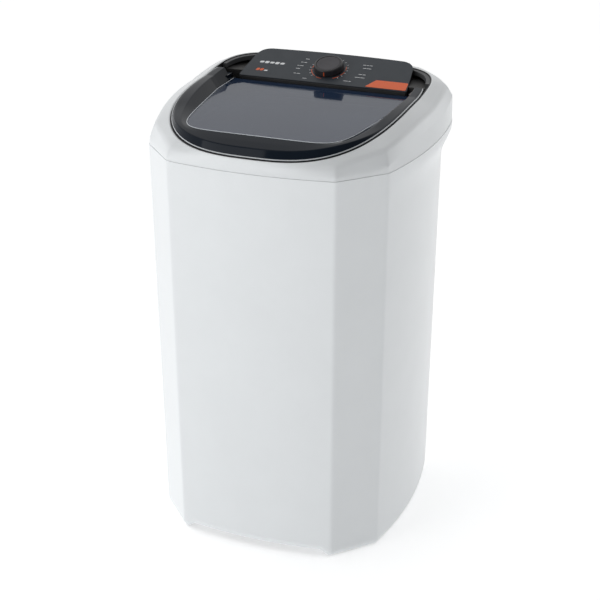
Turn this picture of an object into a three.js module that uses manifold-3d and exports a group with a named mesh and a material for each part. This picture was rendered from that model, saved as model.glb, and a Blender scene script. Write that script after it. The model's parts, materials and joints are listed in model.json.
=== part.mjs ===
// Semi-automatic top-loading washer ("mini washer"): an eight-sided plastic cabinet with a flared rim,
// a moulded top cover, a smoked lid, a sloping timer panel, and the wash tub with its belt drive inside.
//
// Units are millimetres, +Z is up and the front of the machine faces -Y. The shapes are laid out round
// the vertical axis of the pulsator; the finished group is then moved so that the origin is at the
// middle of the footprint, on the floor.
import * as THREE from 'three';
import { mergeVertices } from 'three/addons/utils/BufferGeometryUtils.js';
import Module from 'manifold-3d';

const wasm = await Module();
wasm.setup();

// ---------------------------------------------------------------- driving dimensions

const GAP = 0.4; // clearance between pieces that touch

const cabinet = {
  frontHalfWidth: 186, // front face, from the middle to its corner edge
  frontEdgeY: -285.5,
  frontBulge: 19,
  sideEdgeX: 269,
  sideEdgeY: 198,
  sideBulge: 22.4,
  rearEdgeY: 285.5,
  rearBulge: 19,
  wall: 3.2,
  draft: 3.93e-5, // narrowing per millimetre below the rim
  footZ: 5,
  archZ: 17.5, // lower edge of the front and rear faces between the feet
  archHalfWidth: 156,
  archSlope: 18,
  toeHeight: 10, // the sides draw in over this height at the bottom
  toeInset: 6,
  flareStartZ: 828,
  flareKneeZ: 852,
  flareFullZ: 874,
  rimZ: 895,
};

const rim = { rearSideX: 291, rearHalfWidth: 202, rearEdgeY: 297, rearBulge: 17, sideBulge: 22 };

const cover = {
  wall: 3,
  skirtInset: 1.6,
  creaseInset: 2.2,
  creaseSideBulge: 13,
  shoulderShare: 0.3, // how far the shoulder lies from the rim towards the opening
  lipWidth: 3,
  lipDrop: 7,
};
const bezel = { wall: 1.8, shelfDrop: 12.6, shelfWidth: 6, shelfThick: 3, footZ: 890 };

const CENTRE_Y = 38; // every outline is traced by angle round (0, CENTRE_Y)
const opening = { halfWidth: 254.5, front: 338, rear: 212, frontPower: 2.9, rearPower: 4.8, taper: 0 };
const lidEdge = { halfWidth: 248.5, front: 332, rear: 160, frontPower: 2.9, rearPower: 3.6, taper: 0 };
const windowEdge = { halfWidth: 211, front: 281, rear: 130, frontPower: 8, rearPower: 20, taper: 0.12 };

const lid = {
  plateauZ: 957,
  shelfShare: 0.55, // how far the shelf round the window reaches from the lid's edge to the window
  frontRise: 15, // the shelf stands this much higher above the cover's edge at the front
  wallLean: 5,
  wall: 2.6,
  ledge: 6,
  rearY: 131,
  bandRearY: 113, // the raised side bands stop here, in front of the hinges
};

const hinge = {
  y: 128,
  z: 963,
  pinRadius: 3.5,
  pinSlack: 0.3,
  eyeRadius: 7,
  lugX: 220,
  lugWidth: 12,
  notchX: 203.5, // the lid is cut back outside this line to clear the hinges
  bracketX: 233,
  bracketThick: 6,
};

const panel = {
  bottomY: 135,
  bottomZ: 966,
  tilt: THREE.MathUtils.degToRad(19),
  halfWidth: 200,
  shoulderHalfWidth: 190.5,
  shoulderUp: 78,
  cornerUp: 115,
  cornerHalfWidth: 158,
  crownUp: 119,
  thick: 2.4,
};

const consoleBox = { floorZ: 935, floorThick: 3, wall: 3, frontY: 124 };

const knob = { up: 56, topRadius: 31.5, baseRadius: 35, height: 16, socketTop: 12, shaftRadius: 3 };

const tub = {
  rimZ: 886,
  floorZ: 330,
  wall: 3,
  topHalfWidth: 250,
  bottomHalfWidth: 214,
  topFront: 303,
  bottomFront: 258,
  topRear: 222,
  bottomRear: 182,
  power: 4.2,
  deckInset: 6,
  turnHeight: 22, // height of the turn from the floor into the wall
};

const filter = {
  y: -10,
  halfWidth: 45,
  bottomZ: 560,
  topZ: 800,
  backX: -224.4,
  lean: 15.4, // the tub wall leans away by this much over the pocket's height
  frontX: -203,
  wall: 2.5,
  guide: 4, // thickness of the pocket's front and rear walls
  seatZ: 566,
};
const drain = { x: 150, y: 100, radius: 20 };
const pulsator = { radius: 165, z: 337, rimHeight: 10, hubHeight: 34, vanes: 6 };
const drive = { shaftRadius: 8, bushRadius: 14, tubeRadius: 21, housingTop: 333, housingBottom: 216 };
const pulley = { z: 188, height: 16, drivenRadius: 110, motorRadius: 24, centres: 168, groove: 7 };
const motor = { radius: 62, bottomZ: 222, topZ: 292, shaftRadius: 6, shaftFoot: 160 };
const fan = { radius: 54, bladeRadius: 50, hubRadius: 13, bottomZ: 163, discZ: 176, topZ: 179, blades: 6 };
const plate = { bottomZ: 318, thick: 4 };

const footSpot = { x: 196, y: 214, padRadius: 15, postRadius: 13 };
const REAR_REACH = 330; // how far the inlet and the drain spout stand out behind the axis
const FRONT_REACH = 304.5;
const BODY_SHIFT_Y = (FRONT_REACH - REAR_REACH) / 2;

// ---------------------------------------------------------------- colours and finishes

const finish = (color, roughness, metalness = 0) =>
  new THREE.MeshStandardMaterial({ color, roughness, metalness });

const whitePlastic = finish('#e6eaec', 0.38);
const tubPlastic = finish('#dfe3e5', 0.42);
const blackPlastic = finish('#2b2c2e', 0.35);
const panelPlastic = finish('#43474c', 0.45);
const smokedPlastic = new THREE.MeshStandardMaterial({
  color: '#565d68',
  roughness: 0.12,
  transparent: true,
  opacity: 0.7,
});
const darkLidPlastic = finish('#252c36', 0.12);
const orangeFilm = finish('#f5703a', 0.4);
const greyPlastic = finish('#a9afb3', 0.5);
const steel = finish('#9a9ea2', 0.35, 0.9);
const castAlloy = finish('#8b8f92', 0.5, 0.8);
const rubber = finish('#1d1d1e', 0.85);
const brass = finish('#b08d4b', 0.4, 0.9);

// ---------------------------------------------------------------- scene graph and solids

const machine = new THREE.Group();
machine.position.y = BODY_SHIFT_Y;

function add(name, geometry, material, parent = machine) {
  const mesh = new THREE.Mesh(geometry, material);
  mesh.name = name;
  parent.add(mesh);
  return mesh;
}

function toSolid(geometry) {
  const bare = geometry.clone();
  bare.deleteAttribute('normal');
  bare.deleteAttribute('uv');
  const merged = mergeVertices(bare, 1e-3);
  return new wasm.Manifold(
    new wasm.Mesh({
      numProp: 3,
      vertProperties: new Float32Array(merged.attributes.position.array),
      triVerts: new Uint32Array(merged.index.array),
    }),
  );
}

function toGeometry(solid) {
  const mesh = solid.getMesh();
  const geometry = new THREE.BufferGeometry();
  geometry.setAttribute('position', new THREE.BufferAttribute(mesh.vertProperties, 3));
  geometry.setIndex(new THREE.BufferAttribute(mesh.triVerts, 1));
  geometry.computeVertexNormals();
  return geometry;
}

const cut = (body, ...tools) =>
  toGeometry(tools.reduce((left, tool) => left.subtract(toSolid(tool)), toSolid(body)));
const join = (...bodies) => toGeometry(bodies.map(toSolid).reduce((sum, body) => sum.add(body)));
const common = (body, tool) => toGeometry(toSolid(body).intersect(toSolid(tool)));

// Joins matching rings of points with side walls. A closed loft ends where it starts, like a hoop;
// an open one is capped at both ends.
function loft(rings, closed) {
  const count = rings[0].length;
  const points = rings.flat(2);
  const faces = [];
  const spans = closed ? rings.length : rings.length - 1;
  for (let r = 0; r < spans; r++) {
    const low = r * count;
    const high = ((r + 1) % rings.length) * count;
    for (let i = 0; i < count; i++) {
      const next = (i + 1) % count;
      faces.push(low + i, low + next, high + next, low + i, high + next, high + i);
    }
  }
  if (!closed) {
    const top = (rings.length - 1) * count;
    for (let i = 1; i < count - 1; i++) {
      faces.push(0, i + 1, i, top, top + i, top + i + 1);
    }
  }
  const geometry = new THREE.BufferGeometry();
  geometry.setAttribute('position', new THREE.Float32BufferAttribute(points, 3));
  geometry.setIndex(faces);
  return geometry;
}

// A turned piece round a vertical axis; the profile is a list of [radius, height] from the bottom up.
function turned(profile, segments = 16) {
  const points = profile.map(([radius, height]) => new THREE.Vector2(radius, height));
  return new THREE.LatheGeometry(points, segments).rotateX(Math.PI / 2);
}

const box = (x0, x1, y0, y1, z0, z1) =>
  new THREE.BoxGeometry(x1 - x0, y1 - y0, z1 - z0).translate((x0 + x1) / 2, (y0 + y1) / 2, (z0 + z1) / 2);

// The same box on the left (sx = -1) or the right side, between two distances from the middle.
const sideBox = (sx, near, far, ...rest) =>
  sx < 0 ? box(-far, -near, ...rest) : box(near, far, ...rest);

function rod(radius, z0, z1, segments = 16) {
  const cylinder = new THREE.CylinderGeometry(radius, radius, z1 - z0, segments);
  return cylinder.rotateX(Math.PI / 2).translate(0, 0, (z0 + z1) / 2);
}

// A cylinder along X, centred on the point given.
const crossRod = (radius, length, x, y, z, segments = 16) =>
  new THREE.CylinderGeometry(radius, radius, length, segments).rotateZ(Math.PI / 2).translate(x, y, z);

const tube = (inner, outer, z0, z1, segments = 16) =>
  turned([[inner, z0], [outer, z0], [outer, z1], [inner, z1], [inner, z0]], segments);

function extruded(shape, depth, curveSegments = 10) {
  return new THREE.ExtrudeGeometry(shape, { depth, bevelEnabled: false, curveSegments });
}

const mirrored = [['left', -1], ['right', 1]];

// ---------------------------------------------------------------- outlines

// One bowed face of the cabinet's plan, from corner to corner, without its last point.
function bowedFace(from, to, bulge, steps) {
  const [dx, dy] = [to[0] - from[0], to[1] - from[1]];
  const length = Math.hypot(dx, dy);
  return Array.from({ length: steps }, (_, i) => {
    const t = i / steps;
    const bow = 4 * bulge * t * (1 - t);
    return [from[0] + dx * t + (dy / length) * bow, from[1] + dy * t - (dx / length) * bow];
  });
}

// The eight-sided plan, anticlockwise from the front left corner edge. flare is 0 on the plain body
// and 1 on the wider rim that carries the top cover.
function cabinetPlan(flare, rimSideBulge = rim.sideBulge) {
  const mix = (a, b) => a + (b - a) * flare;
  const rearX = mix(cabinet.frontHalfWidth, rim.rearHalfWidth);
  const rearY = mix(cabinet.rearEdgeY, rim.rearEdgeY);
  const rearSideX = mix(cabinet.sideEdgeX, rim.rearSideX);
  const corners = [
    [-cabinet.frontHalfWidth, cabinet.frontEdgeY],
    [cabinet.frontHalfWidth, cabinet.frontEdgeY],
    [cabinet.sideEdgeX, -cabinet.sideEdgeY],
    [rearSideX, cabinet.sideEdgeY],
    [rearX, rearY],
    [-rearX, rearY],
    [-rearSideX, cabinet.sideEdgeY],
    [-cabinet.sideEdgeX, -cabinet.sideEdgeY],
  ];
  const sideBulge = mix(cabinet.sideBulge, rimSideBulge);
  const rearBulge = mix(cabinet.rearBulge, rim.rearBulge);
  const bulges = [cabinet.frontBulge, 0, sideBulge, 0, rearBulge, 0, sideBulge, 0];
  const steps = [8, 2, 8, 2, 6, 2, 8, 2];
  return corners.flatMap((corner, i) => bowedFace(corner, corners[(i + 1) % 8], bulges[i], steps[i]));
}

const plainPlan = cabinetPlan(0);
const rimPlan = cabinetPlan(1);
const traceAngles = rimPlan.map(([x, y]) => Math.atan2(y - CENTRE_Y, x));

// A ring of points from a plan drawn in by inset, at a height that may depend on the point.
function ring(plan, inset, height, scale = 1) {
  return plan.map(([x, y]) => {
    const reach = Math.hypot(x, y);
    const factor = (scale * (reach - inset)) / reach;
    const point = [x * factor, y * factor];
    return [...point, typeof height === 'function' ? height(...point) : height];
  });
}

const draftScale = (z) => 1 - cabinet.draft * (cabinet.rimZ - z);

// A rounded outline whose front and rear halves are superellipses, traced at the rim's own angles.
function roundedPlan(edge) {
  return traceAngles.map((angle) => {
    const [cosine, sine] = [Math.cos(angle), Math.sin(angle)];
    const [length, power] = sine < 0 ? [edge.front, edge.frontPower] : [edge.rear, edge.rearPower];
    const outside = (radius) => {
      const width = edge.halfWidth + Math.min(0, edge.taper * radius * sine);
      return Math.abs((radius * cosine) / width) ** power + Math.abs((radius * sine) / length) ** power > 1;
    };
    let [near, far] = [0, 1000];
    for (let i = 0; i < 40; i++) {
      const middle = (near + far) / 2;
      if (outside(middle)) far = middle;
      else near = middle;
    }
    return [near * cosine, CENTRE_Y + near * sine];
  });
}

// A rounded plan drawn in towards its own centre, with a height for each point.
function roundedRing(plan, inset, height) {
  return plan.map(([x, y]) => {
    const reach = Math.hypot(x, y - CENTRE_Y);
    const factor = (reach - inset) / reach;
    const point = [x * factor, CENTRE_Y + (y - CENTRE_Y) * factor];
    return [...point, typeof height === 'function' ? height(...point) : height];
  });
}

const blend = (from, to, share) =>
  from.map((point, i) => point.map((value, axis) => value + (to[i][axis] - value) * share));

// Height of the opening's edge: nearly level along the sides, dropping away to the front and rising
// gently behind.
const OPENING_HIGH_Y = 58;
function openingHeight(x, y) {
  const behind = y - OPENING_HIGH_Y;
  if (behind > 0) return 977 + 0.09 * behind;
  return 977 - 52 * (-behind / 358) ** 2.1;
}

// Height of the crease between the cover's upright band and its shoulder.
function creaseHeight(x, y) {
  const rise = THREE.MathUtils.smoothstep(y, -240, -60) * 26;
  return 906 + rise + THREE.MathUtils.smoothstep(y, 90, 240) * 24;
}

const openingPlan = roundedPlan(opening);
const lidPlan = roundedPlan(lidEdge);
const windowPlan = roundedPlan(windowEdge);

// ---------------------------------------------------------------- cabinet, feet and base

function cabinetShell() {
  // Height, inset and share of the flare at each level.
  const levels = [
    [cabinet.footZ, cabinet.toeInset, 0],
    [cabinet.footZ + cabinet.toeHeight, 0, 0],
    [cabinet.flareStartZ, 0, 0],
    [cabinet.flareKneeZ, 0, 0.42],
    [cabinet.flareFullZ, 0, 0.95],
    [cabinet.rimZ, 0, 1],
  ];
  const planAt = (flare) => blend(plainPlan, rimPlan, flare);
  const outer = levels.map(([z, inset, flare]) => ring(planAt(flare), inset, z, draftScale(z)));
  const inner = [...levels]
    .reverse()
    .map(([z, inset, flare]) => ring(planAt(flare), inset + cabinet.wall, z, draftScale(z)));
  return loft([...outer, ...inner], true);
}

// The cut that leaves the corner feet standing below the front or the rear face.
function footArch(side) {
  const { archHalfWidth: half, archSlope: slope, archZ } = cabinet;
  const archDepth = 90;
  const shape = new THREE.Shape();
  shape.moveTo(-half - slope, -1);
  shape.lineTo(half + slope, -1);
  shape.lineTo(half + slope, cabinet.footZ);
  shape.lineTo(half, archZ);
  shape.lineTo(-half, archZ);
  shape.lineTo(-half - slope, cabinet.footZ);
  const arch = extruded(shape, archDepth).rotateX(Math.PI / 2);
  return arch.translate(0, side < 0 ? archDepth + cabinet.frontEdgeY - 35 : cabinet.rearEdgeY + 35, 0);
}

const drainSpot = { x: 150, z: 86, radius: 17 };
const cordSpot = { x: -150, z: 86, radius: 9 };
const inletSpot = { x: -140, z: 929, radius: 13 };

const rearHole = ({ x, z, radius }, clearance = GAP) =>
  new THREE.CylinderGeometry(radius + clearance, radius + clearance, 80, 14).translate(x, 300, z);

add(
  'cabinet',
  cut(cabinetShell(), footArch(-1), footArch(1), rearHole(drainSpot), rearHole(cordSpot)),
  whitePlastic,
);

// Rubber pads under the four corner feet.
for (const [side, sx] of mirrored) {
  for (const [end, sy] of [['front', -1], ['rear', 1]]) {
    const { x, y, padRadius } = footSpot;
    const top = cabinet.footZ - GAP;
    const pad = turned([[0, 0], [padRadius - 2, 0], [padRadius, 2], [padRadius, top], [0, top]], 16);
    pad.translate(sx * x, sy * y, 0);
    add(`foot_pad_${end}_${side}`, pad, rubber);
  }
}

// Ribbed tray that ties the cabinet's lower edge together and stands on the pads.
const tray = {
  halfX: 246,
  halfY: 262,
  chamfer: 78,
  z: 20,
  thick: 4,
  rimHeight: 26,
  ribTop: 38,
  ventRadius: 60,
};

function trayShape(inset) {
  const [hx, hy] = [tray.halfX - inset, tray.halfY - inset];
  const c = tray.chamfer - inset * 0.4;
  const half = [[hx, c - hy], [hx, hy - c], [hx - c, hy]];
  const right = [[hx - c, -hy], ...half];
  const left = right.map(([x, y]) => [-x, y]).reverse();
  return new THREE.Shape([...right, ...left].map(([x, y]) => new THREE.Vector2(x, y)));
}

function baseTray() {
  const { z, thick, rimHeight, ribTop, ventRadius } = tray;
  const bottom = z + thick / 2;
  const floor = extruded(trayShape(0), thick).translate(0, 0, z);
  const wall = cut(
    extruded(trayShape(0), rimHeight).translate(0, 0, z),
    extruded(trayShape(thick), rimHeight + 10).translate(0, 0, bottom),
  );
  const ribReach = tray.halfY - 7;
  const ribs = [-120, 0, 120].map((x) => box(x - 2, x + 2, -ribReach, ribReach, bottom, ribTop));
  const posts = mirrored.flatMap(([, sx]) =>
    [-1, 1].map((sy) => {
      const post = rod(footSpot.postRadius, cabinet.footZ, bottom);
      return post.translate(sx * footSpot.x, sy * footSpot.y, 0);
    }),
  );
  const vent = rod(ventRadius, 0, 60, 24).translate(0, pulley.centres, 0);
  return cut(join(floor, wall, ...ribs, ...posts), vent);
}
add('base_tray', baseTray(), greyPlastic);

// ---------------------------------------------------------------- top cover and bezel

function shoulderHeight(x, y) {
  return openingHeight(x, y) - 9 - THREE.MathUtils.smoothstep(y, -280, -100) * 5;
}

function topCover() {
  const { wall, skirtInset, creaseInset, shoulderShare, lipWidth, lipDrop } = cover;
  const creasePlan = cabinetPlan(1, cover.creaseSideBulge);
  const shoulderPlan = blend(rimPlan, openingPlan, shoulderShare);
  const seamZ = cabinet.rimZ + GAP;
  const outer = [
    ring(rimPlan, skirtInset, seamZ),
    ring(creasePlan, creaseInset, creaseHeight),
    ring(shoulderPlan, skirtInset, shoulderHeight),
    roundedRing(openingPlan, 0, openingHeight),
  ];
  const lip = [
    roundedRing(openingPlan, lipWidth, (x, y) => openingHeight(x, y) - 1.5),
    roundedRing(openingPlan, lipWidth, (x, y) => openingHeight(x, y) - lipDrop),
  ];
  const inner = [
    ring(shoulderPlan, skirtInset + wall, (x, y) => shoulderHeight(x, y) - wall),
    ring(creasePlan, creaseInset + wall, creaseHeight),
    ring(rimPlan, skirtInset + wall, seamZ),
  ];
  return cut(loft([...outer, ...lip, ...inner], true), rearHole(inletSpot));
}
add('top_cover', topCover(), whitePlastic);

// Dark collar that lines the opening down to the tub, with the narrow shelf that the lid closes on.
function lidBezel() {
  const outside = cover.lipWidth + GAP;
  const inside = outside + bezel.wall;
  const top = (x, y) => openingHeight(x, y) - 0.5;
  const shelf = (x, y) => openingHeight(x, y) - bezel.shelfDrop;
  const shelfUnder = (x, y) => shelf(x, y) - bezel.shelfThick;
  const rings = [
    roundedRing(openingPlan, outside, bezel.footZ),
    roundedRing(openingPlan, outside, top),
    roundedRing(openingPlan, inside, top),
    roundedRing(openingPlan, inside, shelf),
    roundedRing(openingPlan, outside + bezel.shelfWidth, shelf),
    roundedRing(openingPlan, outside + bezel.shelfWidth, shelfUnder),
    roundedRing(openingPlan, inside, shelfUnder),
    roundedRing(openingPlan, inside, bezel.footZ),
  ];
  return loft(rings, true);
}
add('lid_bezel', lidBezel(), blackPlastic);

// ---------------------------------------------------------------- lid and hinges

// Everything on the lid is drawn closed. The group exists so that the lid's pieces stay together.
const lidGroup = new THREE.Group();
machine.add(lidGroup);

const behindLid = box(-300, 300, lid.rearY, 400, 900, 1100);
const besideHinge = (sx) => sideBox(sx, hinge.notchX, 300, lid.bandRearY, 400, 900, 1100);

function lidFrame() {
  const shelfPlan = blend(lidPlan, windowPlan, lid.shelfShare);
  const edgeTop = (x, y) => openingHeight(x, y) + 2;
  const edgeFoot = (x, y) => openingHeight(x, y) - bezel.shelfDrop + 0.6;
  const edgeUnder = (x, y) => edgeTop(x, y) - lid.wall - 1;
  const frontShare = (y) => 1 - THREE.MathUtils.smoothstep(y, -290, -120);
  const shelfTop = (x, y) => edgeTop(x, y) + 1 + lid.frontRise * frontShare(y);
  const shelfUnder = (x, y) => shelfTop(x, y) - lid.wall;
  const ledgeZ = lid.plateauZ - lid.wall - GAP;
  const rings = [
    roundedRing(lidPlan, 0, edgeFoot),
    roundedRing(lidPlan, 0, edgeTop),
    roundedRing(lidPlan, lid.wallLean, shelfTop),
    roundedRing(shelfPlan, 0, shelfTop),
    roundedRing(windowPlan, 0, lid.plateauZ),
    roundedRing(windowPlan, GAP, ledgeZ),
    roundedRing(windowPlan, lid.ledge, ledgeZ),
    roundedRing(windowPlan, lid.ledge, ledgeZ - 2),
    roundedRing(windowPlan, -1, ledgeZ - 2),
    roundedRing(shelfPlan, 0, shelfUnder),
    roundedRing(lidPlan, lid.wallLean + lid.wall, shelfUnder),
    roundedRing(lidPlan, lid.wall, edgeUnder),
    roundedRing(lidPlan, lid.wall, edgeFoot),
  ];
  return cut(loft(rings, true), behindLid, besideHinge(-1), besideHinge(1));
}

function hingeLug(sx) {
  const { y, z, lugX, lugWidth, eyeRadius, pinRadius, pinSlack } = hinge;
  const [near, far] = [lugX - lugWidth / 2, lugX + lugWidth / 2];
  const arm = sideBox(sx, near, far, lid.bandRearY - 10, y, z - eyeRadius, z + eyeRadius);
  const eye = crossRod(eyeRadius, lugWidth, sx * lugX, y, z, 20);
  const bore = crossRod(pinRadius + pinSlack, 3 * lugWidth, sx * lugX, y, z);
  return cut(join(arm, eye), bore);
}
add('lid_frame', join(lidFrame(), hingeLug(-1), hingeLug(1)), darkLidPlastic, lidGroup);

function lidWindow() {
  const low = roundedRing(windowPlan, 2 * GAP, lid.plateauZ - lid.wall);
  const high = roundedRing(windowPlan, 2 * GAP, lid.plateauZ);
  return cut(loft([low, high], false), behindLid);
}
add('lid_window', lidWindow(), smokedPlastic, lidGroup);

for (const [side, sx] of mirrored) {
  const { y, z, lugX, lugWidth, bracketX, bracketThick, eyeRadius, pinRadius, pinSlack } = hinge;
  const foot = consoleBox.floorZ + consoleBox.floorThick + GAP;
  const reach = eyeRadius + 1;
  const [near, far] = [bracketX - bracketThick / 2, bracketX + bracketThick / 2];
  const post = sideBox(sx, near, far, y - reach, y + reach, foot, z);
  const head = crossRod(reach, bracketThick, sx * bracketX, y, z, 24);
  const hole = crossRod(pinRadius + pinSlack, 5 * bracketThick, sx * bracketX, y, z);
  add(`hinge_bracket_${side}`, cut(join(post, head), hole), blackPlastic);
  const pinLength = bracketX - lugX + lugWidth + 2;
  add(`hinge_pin_${side}`, crossRod(pinRadius, pinLength, (sx * (lugX + bracketX)) / 2, y, z), steel);
}

// ---------------------------------------------------------------- console and control panel

// The panel's outline, width across and height measured up its slope.
function panelShape(inset = 0) {
  const foot = panel.halfWidth - inset;
  const shoulder = [panel.shoulderHalfWidth - inset, panel.shoulderUp - inset];
  const corner = [panel.cornerHalfWidth - inset, panel.cornerUp - inset];
  const round = [shoulder[0] - 3, corner[1] - 3]; // control point of the rounded corner
  const shape = new THREE.Shape();
  shape.moveTo(-foot, inset);
  shape.lineTo(foot, inset);
  shape.lineTo(...shoulder);
  shape.quadraticCurveTo(...round, ...corner);
  shape.quadraticCurveTo(0, 2 * (panel.crownUp - inset) - corner[1], -corner[0], corner[1]);
  shape.quadraticCurveTo(-round[0], round[1], -shoulder[0], shoulder[1]);
  return shape;
}

// Moves a piece drawn flat on z = 0, with y up the slope, onto the sloping panel.
function ontoPanel(geometry, lift = 0) {
  return geometry.translate(0, 0, lift).rotateX(panel.tilt).translate(0, panel.bottomY, panel.bottomZ);
}

function uprightPrism(inset, z0, z1) {
  const slope = Math.cos(panel.tilt);
  return extruded(panelShape(inset), z1 - z0).scale(1, slope, 1).translate(0, panel.bottomY, z0);
}

const shaftHole = () => ontoPanel(rod(knob.shaftRadius + GAP, -60, 60, 20).translate(0, knob.up, 0));

function consoleHousing() {
  const { floorZ, floorThick, wall, frontY } = consoleBox;
  const plateInset = cover.lipWidth + GAP + bezel.wall + GAP;
  const floorRings = [floorZ, floorZ + floorThick].map((z) => roundedRing(openingPlan, plateInset, z));
  const floor = common(loft(floorRings, false), box(-300, 300, frontY, 400, 900, 1000));
  const abovePanel = ontoPanel(box(-300, 300, -300, 300, 0, 200), -panel.thick - GAP);
  const aboveRoof = ontoPanel(box(-300, 300, -300, 300, 0, 200), -panel.thick - GAP - wall);
  const shelfInset = cover.lipWidth + GAP + bezel.shelfWidth + GAP;
  const insideCollar = (inset) =>
    loft([floorZ - 6, 1050].map((z) => roundedRing(openingPlan, shelfInset + inset, z)), false);
  const wedge = common(cut(uprightPrism(0.5, floorZ, 1040), abovePanel), insideCollar(0));
  const hollow = common(cut(uprightPrism(0.5 + wall, floorZ - 5, 1040), aboveRoof), insideCollar(wall));
  return cut(join(floor, wedge), hollow, shaftHole());
}
add('console_housing', consoleHousing(), blackPlastic);

const panelPlate = extruded(panelShape(), panel.thick).translate(0, 0, -panel.thick);
add('control_panel', cut(ontoPanel(panelPlate), shaftHole()), panelPlastic);

// Orange flash in the panel's lower right corner.
const flashCorners = [[103, 4], [197, 4], [195, 31.5], [121, 31.5]];
const flashShape = new THREE.Shape(flashCorners.map((corner) => new THREE.Vector2(...corner)));
add('panel_flash', ontoPanel(extruded(flashShape, 0.5), GAP), orangeFilm);

// Mechanical timer under the console's roof, and its knob on top.
const roofUnder = -(panel.thick + GAP + consoleBox.wall);
const timerTop = roofUnder - GAP;
const timerCase = { radius: 22, depth: 26 };
const timerEar = { halfLength: 34, halfWidth: 12, thick: 3, screwX: 29, screwRadius: 2 };

function timerBody() {
  const drum = rod(timerCase.radius, timerTop - timerCase.depth, timerTop - 1, 24);
  const { halfLength, halfWidth, thick, screwX, screwRadius } = timerEar;
  const ears = box(-halfLength, halfLength, -halfWidth, halfWidth, timerTop - thick, timerTop);
  const holes = mirrored.map(([, sx]) => rod(screwRadius + 0.3, -60, 0, 12).translate(sx * screwX, 0, 0));
  const bore = rod(knob.shaftRadius + 0.3, timerTop - 12, 5, 16);
  return cut(join(drum, ears), ...holes, bore);
}
add('timer_body', ontoPanel(timerBody().translate(0, knob.up, 0)), greyPlastic);

for (const [side, sx] of mirrored) {
  const { screwX, screwRadius, thick } = timerEar;
  const headTop = -thick - GAP;
  const headFoot = headTop - 2.5;
  const head = [[0, headFoot], [2 * screwRadius, headFoot], [2 * screwRadius, headTop]];
  const profile = [...head, [screwRadius, headTop], [screwRadius, 0], [0, 0]];
  const screw = turned(profile, 12).translate(sx * screwX, knob.up, timerTop);
  add(`timer_screw_${side}`, ontoPanel(screw), steel);
}

const knobGroup = new THREE.Group();
machine.add(knobGroup);
const timerShaft = rod(knob.shaftRadius, timerTop - 11, knob.socketTop - 1).translate(0, knob.up, 0);
add('timer_shaft', ontoPanel(timerShaft), steel, knobGroup);
const knobProfile = [
  [knob.shaftRadius + 0.3, 1.5],
  [knob.baseRadius, 1.5],
  [knob.baseRadius, 3],
  [knob.topRadius + 1, knob.height - 1.5],
  [knob.topRadius - 1, knob.height],
  [0, knob.height],
  [0, knob.socketTop],
  [knob.shaftRadius + 0.3, knob.socketTop],
  [knob.shaftRadius + 0.3, 1.5],
];
add('timer_knob', ontoPanel(turned(knobProfile, 24).translate(0, knob.up, 0)), blackPlastic, knobGroup);

// Orange index line down the knob's side.
function knobIndex() {
  const lean = Math.atan2(knob.baseRadius - knob.topRadius - 1, knob.height - 4.5);
  const line = box(-1, 1, -0.8, 0, 0, knob.height - 7).rotateX(-lean);
  return line.translate(0, knob.up - knob.baseRadius - GAP, 4);
}
add('knob_index', ontoPanel(knobIndex()), orangeFilm, knobGroup);

// ---------------------------------------------------------------- wash tub and lint filter

function tubPlan(z) {
  const share = (z - tub.floorZ) / (tub.rimZ - tub.floorZ);
  const mix = (low, high) => low + (high - low) * share;
  return roundedPlan({
    halfWidth: mix(tub.bottomHalfWidth, tub.topHalfWidth),
    front: mix(tub.bottomFront, tub.topFront),
    rear: mix(tub.bottomRear, tub.topRear),
    frontPower: tub.power,
    rearPower: tub.power,
    taper: 0,
  });
}

function washTub() {
  const { floorZ, rimZ, wall, deckInset, turnHeight } = tub;
  const outer = [
    roundedRing(tubPlan(floorZ), turnHeight, floorZ - wall),
    roundedRing(tubPlan(floorZ + turnHeight), 0, floorZ + turnHeight),
    roundedRing(tubPlan(rimZ - wall), 0, rimZ - wall),
    ring(rimPlan, deckInset, rimZ - wall),
    ring(rimPlan, deckInset, rimZ),
  ];
  const innerTurn = turnHeight + wall;
  const aboveRim = rimZ + 9;
  const inner = [
    roundedRing(tubPlan(floorZ), innerTurn, floorZ),
    roundedRing(tubPlan(floorZ + innerTurn), wall, floorZ + innerTurn),
    roundedRing(tubPlan(aboveRim), wall, aboveRim),
  ];
  const hub = rod(drive.tubeRadius + GAP, 300, 400);
  const drainHole = rod(drain.radius + GAP, 300, 400).translate(drain.x, drain.y, 0);
  return cut(loft(outer, false), loft(inner, false), hub, drainHole);
}
add('wash_tub', washTub(), tubPlastic);

// Rows of windows cut right across the filter or its housing.
function windowsAcross(x0, x1, rows, columns) {
  const { y, halfWidth, bottomZ, topZ } = filter;
  const [rowPitch, columnPitch] = [(topZ - bottomZ - 30) / rows, (2 * halfWidth - 20) / columns];
  const cuts = [];
  for (let row = 0; row < rows; row++) {
    for (let column = 0; column < columns; column++) {
      const y0 = y - halfWidth + 10 + column * columnPitch;
      const z0 = bottomZ + 18 + row * rowPitch;
      cuts.push(box(x0, x1, y0 + 3, y0 + columnPitch - 3, z0 + 3, z0 + rowPitch - 3));
    }
  }
  return cuts;
}

// Pocket on the tub's left wall, deeper at the top where the wall leans away, and the lint filter
// that lifts out of it.
function filterHousing() {
  const { y, halfWidth, bottomZ, topZ, backX, frontX, lean, wall, guide, seatZ } = filter;
  const side = new THREE.Shape();
  side.moveTo(backX, bottomZ);
  side.lineTo(frontX, bottomZ);
  side.lineTo(frontX, topZ);
  side.lineTo(backX - lean, topZ);
  const block = extruded(side, 2 * halfWidth).rotateX(Math.PI / 2).translate(0, y + halfWidth, 0);
  const [near, far] = [y - halfWidth + guide, y + halfWidth - guide];
  const pocket = box(backX + wall, frontX - wall, near, far, seatZ, topZ + 9);
  return cut(block, pocket, ...windowsAcross(frontX - 6, frontX + 2, 4, 1));
}
add('filter_housing', filterHousing(), tubPlastic);

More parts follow.
